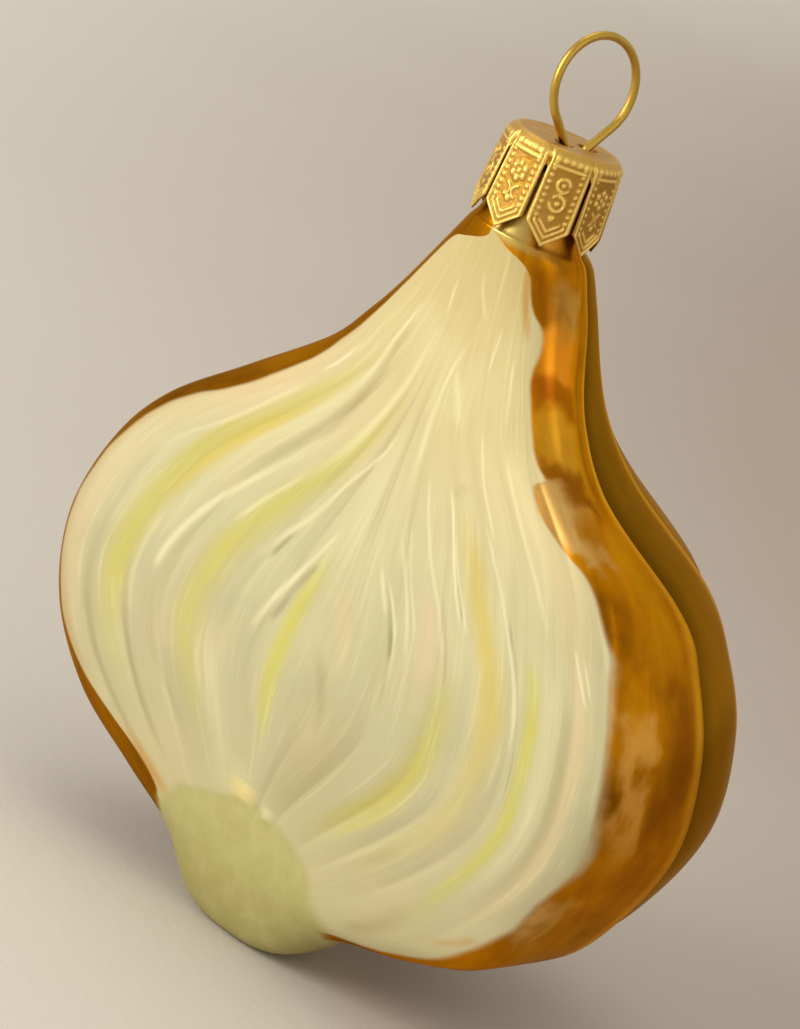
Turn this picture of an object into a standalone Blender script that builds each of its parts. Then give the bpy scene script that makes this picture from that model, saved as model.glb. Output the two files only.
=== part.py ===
"""A halved onion in blown glass: a tree ornament with a stamped crown cap and a wire hanging ring.

The neck's line is the Z axis and the cut face looks along -Y. The origin is the point inside the
top of the ring where a hook or a ribbon carries the ornament, so everything else lies below it.
Heights in the dimensions below are measured up from the tip of the root, in metres.
"""

import math

import bmesh
import bpy
from mathutils import Vector

MM = 0.001
COLLECTION_NAME = "glass_onion_ornament"
CUTTER_COLLECTION_NAME = "cutters"
MERGE_DISTANCE = 0.00001

# Blown glass: height, half width left of the neck's line, half width right of it, depth of the back.
OUTLINE = (
    (82.4 * MM, 4.8 * MM, 4.8 * MM, 4.8 * MM),      # mouth, inside the cap
    (78.4 * MM, 4.9 * MM, 4.9 * MM, 4.9 * MM),      # foot of the straight neck
    (76.0 * MM, 5.4 * MM, 5.4 * MM, 5.45 * MM),     # tips of the cap's tabs
    (74.6 * MM, 6.2 * MM, 6.6 * MM, 7.1 * MM),
    (71.5 * MM, 7.7 * MM, 7.9 * MM, 8.7 * MM),
    (66.0 * MM, 10.4 * MM, 10.3 * MM, 10.9 * MM),
    (61.5 * MM, 13.1 * MM, 13.3 * MM, 13.3 * MM),
    (57.0 * MM, 16.4 * MM, 17.1 * MM, 18.4 * MM),
    (50.0 * MM, 24.6 * MM, 26.2 * MM, 28.3 * MM),   # shoulder
    (43.0 * MM, 32.7 * MM, 30.2 * MM, 35.1 * MM),
    (36.0 * MM, 37.2 * MM, 33.1 * MM, 39.2 * MM),
    (27.0 * MM, 39.1 * MM, 34.4 * MM, 41.0 * MM),   # belly, the widest
    (18.5 * MM, 36.2 * MM, 32.3 * MM, 38.2 * MM),
    (12.2 * MM, 29.2 * MM, 28.7 * MM, 32.3 * MM),
    (8.6 * MM, 20.1 * MM, 21.4 * MM, 23.2 * MM),
    (5.8 * MM, 12.4 * MM, 12.6 * MM, 13.9 * MM),    # where the root plate grows out of the belly
    (1.4 * MM, 7.2 * MM, 7.4 * MM, 8.1 * MM),
    (0.0 * MM, 4.0 * MM, 4.0 * MM, 4.5 * MM),       # flat tip of the root
)
STEPS_PER_STATION = 2
WALL = 0.6 * MM
BELLY_HEIGHT = 27.0 * MM
FACE_DOME = 5.0 * MM
FACE_DOME_NECK_RISE = 0.8 * MM
FACE_DOME_FULL_AT = 12.0 * MM
FACE_DOME_TIP_SHARE = 0.3
BACK_ROUNDNESS = 2.5
FACE_ROUNDNESS = 2.6
NECK_TURNS_ROUND_FROM = 66.0 * MM
NECK_IS_ROUND_AT = 78.0 * MM

# Hollows between the cut layers of the face, from its left to its right, as shares of the half
# width at the belly. A layer narrower than the full one swells less.
LAYER_HOLLOWS = (-0.835, -0.685, -0.53, -0.30, -0.19, 0.06, 0.25, 0.44, 0.56, 0.715, 0.90)
FULL_LAYER = 0.16
FACE_EDGE_COLUMN = 0.985
FACE_EDGE_SWELL = 0.4
LAYER_SWELL = 0.4 * MM
LAYER_PINCH_ABOVE = 28.0 * MM
LAYER_PINCH_BELOW = 12.5 * MM
LAYER_PINCH_MOST = 4.0
LAYER_EVEN_SHARE = 0.25
LAYERS_FADE_FROM = 52.0 * MM
LAYERS_END_AT = 74.0 * MM
LAYERS_START_AT = 10.0 * MM
LAYERS_FULL_AT = 19.0 * MM

# Skin lobes round the back: angle of each crest from the face's edge, in degrees. Each lobe rises
# to its crest and drops sharply behind it, like one skin that ends on the next.
LOBE_CRESTS = (18.0, 42.0, 66.0)
LOBE_DROP = 2.5
LOBE_STEPS = 3
LOBE_DEPTH = 1.7 * MM
FIRST_LOBE_HOLLOW = 0.15
LOBE_NECK_DEPTH = 0.7 * MM
LOBES_START_AT = 4.0 * MM
LOBES_FULL_AT = 14.0 * MM
LOBES_THIN_FROM = 54.0 * MM
LOBES_THIN_AT = 66.0 * MM
LOBES_END_AT = 78.0 * MM

# The first crest runs close to the face's edge along the shoulder: its angle there and on the neck,
# as a share of its angle on the belly.
SHOULDER_CREST_SHARE = 0.36
NECK_CREST_SHARE = 0.85
SHOULDER_CREST_FROM = 45.0 * MM
SHOULDER_CREST_AT = 57.0 * MM
NECK_CREST_FROM = 61.0 * MM
NECK_CREST_AT = 71.0 * MM

# Root plate, painted apart from the rest of the face.
ROOT_PLATE_TOP = 11.0 * MM
ROOT_PLATE_HALF_WIDTH = 11.0 * MM

# Crown cap, stamped from thin sheet.
CAP_TABS = 8
CAP_SHEET = 0.25 * MM
CAP_RADIUS = 6.0 * MM
CAP_TIP_RADIUS = 6.35 * MM
CAP_TOP_HEIGHT = 85.1 * MM
CAP_TOP_RADIUS = 4.8 * MM
CAP_SHOULDER_DROP = 1.2 * MM
CAP_SHOULDER_STEPS = 4
SLIT_TOP_HEIGHT = 83.2 * MM
TAB_CORNER_HEIGHT = 77.9 * MM
TAB_TIP_HEIGHT = 75.8 * MM
SLIT_WIDTH = 0.4 * MM
FIRST_SLIT_AZIMUTH = math.radians(-64.0)
TAB_COLUMNS = 4
TAB_ROWS = 3
TAB_FLATNESS = 0.6

# Hanging wire: a ring above the cap and two sprung legs inside the neck.
WIRE_RADIUS = 0.45 * MM
RING_RADIUS = 5.0 * MM
RING_AZIMUTH = math.radians(80.5)
RING_LEAN = math.radians(6.3)
HANG_HEIGHT = 95.3 * MM
RING_OPENING = math.radians(47.8)
BEND_FROM = 5.68 * MM
LEG_BEND_RADIUS = 0.9 * MM
LEG_SPREAD = 3.6 * MM
LEG_LENGTH = 21.0 * MM
LEG_STRAIGHT_TO = 7.6 * MM
RING_STEPS = 30
BEND_STEPS = 4
WIRE_HOLE_OFFSET = 1.55 * MM
WIRE_HOLE_RADIUS = 0.95 * MM
WIRE_HOLE_SIDES = 16

# Colour, roughness and metallic share of each finish.
FINISHES = {
    "pearl_lacquer": ((0.74, 0.65, 0.38), 0.28, 0.25),
    "amber_lacquer": ((0.42, 0.19, 0.025), 0.20, 0.75),
    "root_lacquer": ((0.50, 0.46, 0.19), 0.50, 0.0),
    "gilt_sheet": ((0.62, 0.38, 0.10), 0.30, 1.0),
    "brass_wire": ((0.58, 0.41, 0.13), 0.28, 1.0),
}


def clear_scene():
    """Remove every object that the scene starts with."""
    for existing in list(bpy.data.objects):
        bpy.data.objects.remove(existing, do_unlink=True)


def new_collection(name):
    """A collection linked to the scene."""
    collection = bpy.data.collections.new(name)
    bpy.context.scene.collection.children.link(collection)
    return collection


def finish(name):
    """A Principled material with one of the named finishes."""
    colour, roughness, metallic = FINISHES[name]
    material = bpy.data.materials.new(name)
    material.use_nodes = True
    shader = material.node_tree.nodes["Principled BSDF"]
    shader.inputs["Base Color"].default_value = (*colour, 1.0)
    shader.inputs["Roughness"].default_value = roughness
    shader.inputs["Metallic"].default_value = metallic
    material.diffuse_color = (*colour, 1.0)
    return material


def add_object(name, data, collection):
    """An object that hangs below the origin, so that its own heights start at the root's tip."""
    piece = bpy.data.objects.new(name, data)
    piece.location = (0.0, 0.0, -HANG_HEIGHT)
    collection.objects.link(piece)
    return piece


def smooth_step(low, high, value):
    """Rise from 0 at low to 1 at high without a corner."""
    share = min(1.0, max(0.0, (value - low) / (high - low)))
    return share * share * (3.0 - 2.0 * share)


def catmull_rom(before, start, end, after, share):
    """A point between start and end on the smooth curve through four stations."""
    return tuple(
        0.5 * (2.0 * p1 + (p2 - p0) * share + (2.0 * p0 - 5.0 * p1 + 4.0 * p2 - p3) * share ** 2
               + (3.0 * p1 - p0 - 3.0 * p2 + p3) * share ** 3)
        for p0, p1, p2, p3 in zip(before, start, end, after)
    )


def outline_rows():
    """The station numbers of every row of the glass, from the mouth down to the root's tip."""
    last = len(OUTLINE) - 1
    rows = []
    for index in range(last):
        four = [OUTLINE[min(last, max(0, index + step))] for step in (-1, 0, 1, 2)]
        rows += [catmull_rom(*four, step / STEPS_PER_STATION) for step in range(STEPS_PER_STATION)]
    rows.append(OUTLINE[last])
    return rows


def section_shape(height, half_width):
    """Depth of the face before the parting plane, and the roundness of face and back, at a height."""
    round_share = smooth_step(NECK_TURNS_ROUND_FROM, NECK_IS_ROUND_AT, height)
    if height > BELLY_HEIGHT:
        face = min(half_width, FACE_DOME + FACE_DOME_NECK_RISE * round_share)
    else:
        below = 1.0 - min(1.0, height / FACE_DOME_FULL_AT)
        rounded = math.sqrt(1.0 - below * below)
        face = FACE_DOME * (FACE_DOME_TIP_SHARE + (1.0 - FACE_DOME_TIP_SHARE) * rounded)
    return (
        face,
        FACE_ROUNDNESS + (2.0 - FACE_ROUNDNESS) * round_share,
        BACK_ROUNDNESS + (2.0 - BACK_ROUNDNESS) * round_share,
    )


def face_columns():
    """Layer coordinate and swell of every column of the face, from its left edge to its right."""
    columns = [(-1.0, 0.0), (-FACE_EDGE_COLUMN, FACE_EDGE_SWELL)]
    before = -1.0
    for hollow in LAYER_HOLLOWS + (1.0,):
        columns.append((0.5 * (before + hollow), min(1.0, (hollow - before) / FULL_LAYER)))
        columns.append((hollow, 0.0))
        before = hollow
    columns.insert(-1, (FACE_EDGE_COLUMN, FACE_EDGE_SWELL))
    return columns


def skin_columns():
    """Angle and height share of every skin column, between the face's right and left edges."""
    first = LOBE_CRESTS[0]
    right = [(first * step / LOBE_STEPS, 1.0 - FIRST_LOBE_HOLLOW) for step in range(1, LOBE_STEPS)]
    right.append((first, 1.0))
    for before, crest in zip(LOBE_CRESTS, LOBE_CRESTS[1:] + (90.0,)):
        foot = before + LOBE_DROP
        for step in range(LOBE_STEPS):
            share = step / LOBE_STEPS
            right.append((foot + (crest - foot) * share, math.sin(0.5 * math.pi * share)))
        right.append((crest, 1.0))
    left = [(180.0 - angle, share) for angle, share in reversed(right[:-1])]
    return right + left


def skin_angle(angle, height):
    """The angle of a skin column at a height, with the first crest drawn in along the shoulder."""
    shoulder = smooth_step(SHOULDER_CREST_FROM, SHOULDER_CREST_AT, height)
    neck = smooth_step(NECK_CREST_FROM, NECK_CREST_AT, height)
    drawn = 1.0 + (SHOULDER_CREST_SHARE - 1.0) * shoulder + (NECK_CREST_SHARE - SHOULDER_CREST_SHARE) * neck
    mirrored = min(angle, 180.0 - angle)
    first = LOBE_CRESTS[0]
    if mirrored <= first:
        mirrored *= drawn
    else:
        mirrored = 90.0 - (90.0 - mirrored) * (90.0 - first * drawn) / (90.0 - first)
    return mirrored if angle <= 90.0 else 180.0 - mirrored


def layer_position(layer, height):
    """Share of the half width where a cut layer lies: the layers gather towards neck and root."""
    pinch = LAYER_PINCH_ABOVE if height > BELLY_HEIGHT else LAYER_PINCH_BELOW
    power = min(LAYER_PINCH_MOST, 1.0 + ((height - BELLY_HEIGHT) / pinch) ** 2)
    gathered = abs(layer) ** power * (1.0 - LAYER_EVEN_SHARE) + abs(layer) * LAYER_EVEN_SHARE
    return math.copysign(gathered, layer)


def face_point(row, layer, swell):
    """A point of the cut face."""
    height, left, right, _ = row
    depth, roundness, _ = section_shape(height, 0.5 * (left + right))
    across = layer_position(layer, height)
    bulge = (1.0 - abs(across) ** roundness) ** (1.0 / roundness) if abs(across) < 1.0 else 0.0
    relief = (LAYER_SWELL * swell * smooth_step(LAYERS_START_AT, LAYERS_FULL_AT, height)
              * (1.0 - smooth_step(LAYERS_FADE_FROM, LAYERS_END_AT, height)))
    return Vector((across * (right if across > 0.0 else left), -depth * bulge - relief * bulge, height))


def lobe_depth(height):
    """How far the foot of a lobe lies below its crest at a height."""
    thin = smooth_step(LOBES_THIN_FROM, LOBES_THIN_AT, height)
    depth = LOBE_DEPTH + (LOBE_NECK_DEPTH - LOBE_DEPTH) * thin
    return (depth * smooth_step(LOBES_START_AT, LOBES_FULL_AT, height)
            * (1.0 - smooth_step(LOBES_THIN_AT, LOBES_END_AT, height)))


def skin_point(row, angle, share):
    """A point of the skin behind the cut face."""
    height, left, right, depth = row
    _, _, roundness = section_shape(height, 0.5 * (left + right))
    turn = math.radians(skin_angle(angle, height))
    cosine = math.cos(turn)
    half_width = right if cosine > 0.0 else left
    point = Vector((
        math.copysign(half_width * abs(cosine) ** (2.0 / roundness), cosine),
        depth * math.sin(turn) ** (2.0 / roundness),
        0.0,
    ))
    point *= 1.0 - lobe_depth(height) * (1.0 - share) / point.length
    point.z = height
    return point


def build_glass(collection):
    """The blown onion: cut face, lobed skin and root plate in one thin wall, open at the neck."""
    face = face_columns()
    skin = skin_columns()
    mesh = bpy.data.meshes.new("glass_body")
    form = bmesh.new()
    rings = []
    for row in outline_rows():
        points = [face_point(row, layer, swell) for layer, swell in face]
        points += [skin_point(row, angle, share) for angle, share in skin]
        rings.append([form.verts.new(point) for point in points])
    count = len(rings[0])
    for upper, lower in zip(rings, rings[1:]):
        for column in range(count):
            after = (column + 1) % count
            quad = form.faces.new((upper[column], lower[column], lower[after], upper[after]))
            centre = quad.calc_center_median()
            on_root = centre.z < ROOT_PLATE_TOP and abs(centre.x) < ROOT_PLATE_HALF_WIDTH
            in_face = column < len(face) - 1
            quad.material_index = 2 if in_face and on_root else 0 if in_face else 1
    tip = form.faces.new(list(reversed(rings[-1])))
    tip.material_index = 2
    bmesh.ops.triangulate(form, faces=form.faces[:])
    form.to_mesh(mesh)
    form.free()
    for name in ("pearl_lacquer", "amber_lacquer", "root_lacquer"):
        mesh.materials.append(finish(name))
    mesh.shade_smooth()
    glass = add_object("glass_body", mesh, collection)
    wall = glass.modifiers.new("wall", "SOLIDIFY")
    wall.thickness = WALL
    wall.offset = -1.0
    wall.use_even_offset = True
    return glass


def cap_profile():
    """Radius, height and flatness share of each level of the cap, from the top's edge to the tab tips."""
    levels = []
    for step in range(CAP_SHOULDER_STEPS + 1):
        turn = 0.5 * math.pi * step / CAP_SHOULDER_STEPS
        radius = CAP_TOP_RADIUS + (CAP_RADIUS - CAP_TOP_RADIUS) * math.sin(turn)
        levels.append((radius, CAP_TOP_HEIGHT - CAP_SHOULDER_DROP * (1.0 - math.cos(turn)), 0.0))
    levels.append((CAP_RADIUS, SLIT_TOP_HEIGHT, 0.0))
    for step in range(1, TAB_ROWS + 1):
        share = step / TAB_ROWS
        drop = SLIT_TOP_HEIGHT + (TAB_CORNER_HEIGHT - SLIT_TOP_HEIGHT) * share
        levels.append((CAP_RADIUS + (CAP_TIP_RADIUS - CAP_RADIUS) * share, drop, TAB_FLATNESS * share))
    return levels


def cap_point(radius, height, flatness, azimuth, offset, half_angle):
    """A point of the cap: the tabs turn from round at the shoulder to nearly flat at the tips."""
    flat_radius = radius * math.cos(0.5 * half_angle) / math.cos(offset)
    level_radius = radius + (flat_radius - radius) * flatness
    turn = azimuth + offset
    return Vector((level_radius * math.cos(turn), level_radius * math.sin(turn), height))


def build_cap(collection, cutters):
    """The crown cap: a domed top with two wire holes, a band, and eight pointed tabs."""
    half_angle = math.pi / CAP_TABS
    slit_half_angle = 0.5 * SLIT_WIDTH / CAP_RADIUS
    levels = cap_profile()
    first_tab_level = CAP_SHOULDER_STEPS + 2
    mesh = bpy.data.meshes.new("crown_cap")
    form = bmesh.new()
    top_ring = []
    for tab in range(CAP_TABS):
        azimuth = FIRST_SLIT_AZIMUTH + (2 * tab + 1) * half_angle
        grid = []
        for level, (radius, height, flatness) in enumerate(levels):
            reach = half_angle - (slit_half_angle if level >= first_tab_level else 0.0)
            offsets = [reach * (2.0 * step / TAB_COLUMNS - 1.0) for step in range(TAB_COLUMNS + 1)]
            grid.append([form.verts.new(cap_point(radius, height, flatness, azimuth, offset, half_angle))
                         for offset in offsets])
        reach = half_angle - slit_half_angle
        point_row = []
        for step in range(TAB_COLUMNS + 1):
            offset = reach * (2.0 * step / TAB_COLUMNS - 1.0)
            drop = (TAB_CORNER_HEIGHT - TAB_TIP_HEIGHT) * (1.0 - abs(offset) / reach)
            point_row.append(form.verts.new(cap_point(
                CAP_TIP_RADIUS, TAB_CORNER_HEIGHT - drop, TAB_FLATNESS, azimuth, offset, half_angle)))
        grid.append(point_row)
        for upper, lower in zip(grid, grid[1:]):
            for step in range(TAB_COLUMNS):
                form.faces.new((upper[step], lower[step], lower[step + 1], upper[step + 1]))
        top_ring += grid[0][:-1]
    form.faces.new(top_ring)
    bmesh.ops.remove_doubles(form, verts=form.verts[:], dist=MERGE_DISTANCE)
    bmesh.ops.triangulate(form, faces=[face for face in form.faces if len(face.verts) < 5])
    form.to_mesh(mesh)
    form.free()
    mesh.materials.append(finish("gilt_sheet"))
    mesh.shade_smooth()
    mesh.set_sharp_from_angle(angle=math.radians(35.0))
    cap = add_object("crown_cap", mesh, collection)
    sheet = cap.modifiers.new("sheet", "SOLIDIFY")
    sheet.thickness = CAP_SHEET
    sheet.offset = -1.0
    sheet.use_even_offset = True
    for side in (-1.0, 1.0):
        hole = cap.modifiers.new("wire_hole", "BOOLEAN")
        hole.object = wire_hole_cutter(side, cutters)
    return cap


def ring_frame():
    """The ring's own axes: along its plane, up its plane, and its centre, in the hanging frame."""
    along = Vector((math.cos(RING_AZIMUTH), math.sin(RING_AZIMUTH), 0.0))
    normal = Vector((-along.y, along.x, 0.0))
    upward = Vector((0.0, 0.0, math.cos(RING_LEAN))) + normal * math.sin(RING_LEAN)
    centre = Vector((0.0, 0.0, HANG_HEIGHT)) - upward * (RING_RADIUS - WIRE_RADIUS)
    return along, upward, centre


def wire_hole_cutter(side, cutters):
    """A cylinder along the ring's plane that clears one leg through the cap's top."""
    along, upward, centre = ring_frame()
    crossing = centre - upward * ((centre.z - CAP_TOP_HEIGHT) / upward.z) + along * (side * WIRE_HOLE_OFFSET)
    form = bmesh.new()
    bmesh.ops.create_cone(
        form, cap_ends=True, segments=WIRE_HOLE_SIDES, radius1=WIRE_HOLE_RADIUS, radius2=WIRE_HOLE_RADIUS,
        depth=4.0 * CAP_SHOULDER_DROP,
    )
    mesh = bpy.data.meshes.new("wire_hole_cutter")
    form.to_mesh(mesh)
    form.free()
    cutter = add_object("wire_hole_cutter", mesh, cutters)
    cutter.location = crossing - Vector((0.0, 0.0, HANG_HEIGHT))
    cutter.hide_render = True
    cutter.display_type = "WIRE"
    return cutter


def half_wire():
    """One half of the wire in the ring's plane, from the top of the ring down to the leg's end."""
    # The arc runs on straight into the cap's top, where a small bend turns the wire down into its leg.
    points = []
    for step in range(RING_STEPS // 2 + 1):
        turn = (math.pi - RING_OPENING) * step / (RING_STEPS // 2)
        points.append((RING_RADIUS * math.sin(turn), RING_RADIUS * math.cos(turn)))
    sine, cosine = math.sin(RING_OPENING), math.cos(RING_OPENING)
    straight = (BEND_FROM - RING_RADIUS * cosine) / sine
    leg_out = RING_RADIUS * sine - straight * cosine - LEG_BEND_RADIUS * (1.0 - sine)
    bend_low = BEND_FROM + LEG_BEND_RADIUS * cosine
    for step in range(BEND_STEPS + 1):
        turn = RING_OPENING + (0.5 * math.pi - RING_OPENING) * step / BEND_STEPS
        points.append((leg_out + LEG_BEND_RADIUS * (1.0 - math.sin(turn)),
                       LEG_BEND_RADIUS * math.cos(turn) - bend_low))
    points.append((leg_out, -LEG_STRAIGHT_TO))
    for step in range(1, BEND_STEPS + 1):
        share = step / BEND_STEPS
        spread = leg_out + (LEG_SPREAD - leg_out) * share * share
        points.append((spread, -LEG_STRAIGHT_TO - (LEG_LENGTH - LEG_STRAIGHT_TO) * share))
    return points


def build_wire(collection):
    """The hanging wire as one length: left leg, ring, right leg."""
    along, upward, centre = ring_frame()
    right = half_wire()
    path = [(-out, height) for out, height in reversed(right)] + right[1:]
    curve = bpy.data.curves.new("hanger_wire", "CURVE")
    curve.dimensions = "3D"
    curve.bevel_depth = WIRE_RADIUS
    curve.bevel_resolution = 2
    curve.use_fill_caps = True
    spline = curve.splines.new("POLY")
    spline.points.add(len(path) - 1)
    for point, (out, height) in zip(spline.points, path):
        point.co = (*(centre + along * out + upward * height), 1.0)
    spline.use_smooth = True
    curve.materials.append(finish("brass_wire"))
    return add_object("hanger_wire", curve, collection)


def main():
    """Build the ornament."""
    clear_scene()
    ornament = new_collection(COLLECTION_NAME)
    cutters = new_collection(CUTTER_COLLECTION_NAME)
    build_glass(ornament)
    build_cap(ornament, cutters)
    build_wire(ornament)


main()
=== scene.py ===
"""Looks of a blown-glass onion ornament: lacquered glass, a gilt crown cap and a brass wire ring.

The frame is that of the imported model, in metres: +Z runs up the neck, the cut face looks along -Y
and the origin is the point inside the top of the hanging ring. Sizes below are in millimetres, and
heights on the glass are measured up from the tip of the root.
"""

import logging
import math
from dataclasses import dataclass, replace
from enum import Enum

import bpy
import numpy as np
from mathutils import Matrix, Vector

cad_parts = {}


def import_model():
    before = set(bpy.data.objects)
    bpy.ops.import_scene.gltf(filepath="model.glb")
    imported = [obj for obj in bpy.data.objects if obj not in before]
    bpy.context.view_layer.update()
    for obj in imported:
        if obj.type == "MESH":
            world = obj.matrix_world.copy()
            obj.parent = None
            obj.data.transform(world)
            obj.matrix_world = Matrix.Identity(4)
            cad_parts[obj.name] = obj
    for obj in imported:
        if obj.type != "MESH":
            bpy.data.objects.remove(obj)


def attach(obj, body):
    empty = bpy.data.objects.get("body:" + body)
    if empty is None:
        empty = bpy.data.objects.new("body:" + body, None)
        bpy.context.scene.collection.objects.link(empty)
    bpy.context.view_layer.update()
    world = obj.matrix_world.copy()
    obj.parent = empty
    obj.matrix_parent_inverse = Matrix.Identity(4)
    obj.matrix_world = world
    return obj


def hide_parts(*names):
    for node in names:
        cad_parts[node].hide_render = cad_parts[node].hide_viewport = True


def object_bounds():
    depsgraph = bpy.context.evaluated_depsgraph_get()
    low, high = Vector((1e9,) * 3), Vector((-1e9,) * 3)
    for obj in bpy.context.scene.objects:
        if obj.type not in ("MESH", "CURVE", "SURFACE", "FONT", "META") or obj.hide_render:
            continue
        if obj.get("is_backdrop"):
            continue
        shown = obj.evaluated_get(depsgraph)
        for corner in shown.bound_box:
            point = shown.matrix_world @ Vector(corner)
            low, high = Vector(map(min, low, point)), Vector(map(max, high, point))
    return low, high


MM = 0.001
HANG_HEIGHT = 95.3
LOG = logging.getLogger("onion_ornament")

LINE_END = 2.0  # How far past its ends a painted line is held at nothing, in millimetres.
ROOT_SCALE = 0.05  # Lays heights near the root between 0 and 1.
LINE_SPREAD = 0.33  # Half a painted line's width between 0 and 1, for each layer share of half width.

Band = tuple[float, float]
Triple = tuple[float, float, float]
Pairs = tuple[Band, ...]
Triples = tuple[Triple, ...]
Quads = tuple[tuple[float, float, float, float], ...]
Colour = Triple
Tones = tuple[tuple[float, Colour], ...]


class Slot(Enum):
    """Material slots of the pieces."""

    GLASS = "lacquered_glass"
    SHEET = "gilt_sheet"
    WIRE = "brass_wire"


class Mark(Enum):
    """Facts about a place on a surface that the mesh carries for its finish."""

    LAYER = "layer"
    ACROSS = "across"
    HEIGHT = "height"
    WRAP = "wrap"
    LOBE = "lobe"
    RIM = "rim"
    BUD = "bud"
    PEACH = "peach"
    PINK = "pink"
    GOLDEN = "golden"
    LEAF = "leaf"
    AMBER_TINT = "amber_tint"
    OLIVE = "olive"
    # Painted shade on the cut face.
    PAINTED_SHADE = "painted_shade"
    # Painted highlight on the cut face.
    PAINTED_HIGHLIGHT = "painted_highlight"
    VEIL = "veil"
    RAISED = "raised"
    ALONG = "along"
    ROUND = "round"


def tone(red: int, green: int, blue: int) -> Colour:
    """A paint tone given in display values from 0 to 255.

    Args:
        red: Red share.
        green: Green share.
        blue: Blue share.

    Returns:
        The same tone in linear light.
    """
    shares = (red / 255.0, green / 255.0, blue / 255.0)
    return tuple(s / 12.92 if s <= 0.04045 else ((s + 0.055) / 1.055) ** 2.4 for s in shares)


def smooth_step(low: float, high: float, value: np.ndarray | float) -> np.ndarray:
    """Rise from 0 at low to 1 at high without a corner.

    Args:
        low: Where the rise begins.
        high: Where it ends.
        value: Numbers to judge.

    Returns:
        A share from 0 to 1 for each number.
    """
    share = np.clip((value - low) / (high - low), 0.0, 1.0)
    return share * share * (3.0 - 2.0 * share)


def smooth_curve(stations: np.ndarray, steps: int) -> np.ndarray:
    """Points on the smooth curve that runs through every station.

    Args:
        stations: One row of numbers for each station.
        steps: Points from one station to the next.

    Returns:
        One row for each point, the last station included.
    """
    last = len(stations) - 1
    share = (np.arange(steps) / steps)[:, None]
    pieces = []
    for index in range(last):
        p0, p1, p2, p3 = (stations[min(last, max(0, index + step))] for step in (-1, 0, 1, 2))
        pieces.append(0.5 * (2.0 * p1 + (p2 - p0) * share + (2.0 * p0 - 5.0 * p1 + 4.0 * p2 - p3) * share ** 2
                             + (3.0 * p1 - p0 - 3.0 * p2 + p3) * share ** 3))
    return np.vstack([*pieces, stations[last:]])


class Value:
    """A number, colour or vector that a node gives out; arithmetic on it adds Math nodes."""

    def __init__(self, bench: "NodeBench", socket: bpy.types.NodeSocket) -> None:
        """Keep the bench and the socket."""
        self.bench = bench
        self.socket = socket

    def _math(self, operation: str, *terms: "Value | float") -> "Value":
        """Add a Math node that works on the terms."""
        return self.bench.node("ShaderNodeMath", {"operation": operation}, dict(enumerate(terms)))

    def __add__(self, other: "Value | float") -> "Value":
        """Sum."""
        return self._math("ADD", self, other)

    def __radd__(self, other: float) -> "Value":
        """Sum with a plain number first."""
        return self._math("ADD", other, self)

    def __sub__(self, other: "Value | float") -> "Value":
        """Difference."""
        return self._math("SUBTRACT", self, other)

    def __rsub__(self, other: float) -> "Value":
        """Difference from a plain number."""
        return self._math("SUBTRACT", other, self)

    def __mul__(self, other: "Value | float") -> "Value":
        """Product."""
        return self._math("MULTIPLY", self, other)

    def __rmul__(self, other: float) -> "Value":
        """Product with a plain number first."""
        return self._math("MULTIPLY", other, self)

    def __abs__(self) -> "Value":
        """Size without sign."""
        return self._math("ABSOLUTE", self)

    def step(self, low: float, high: float) -> "Value":
        """Rise from 0 at low to 1 at high without a corner; high may lie below low.

        Args:
            low: Where the result is 0.
            high: Where the result is 1.

        Returns:
            A share from 0 to 1.
        """
        return self.bench.node(
            "ShaderNodeMapRange", {"interpolation_type": "SMOOTHSTEP"},
            {"Value": self, "From Min": low, "From Max": high, "To Min": 0.0, "To Max": 1.0})


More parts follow.
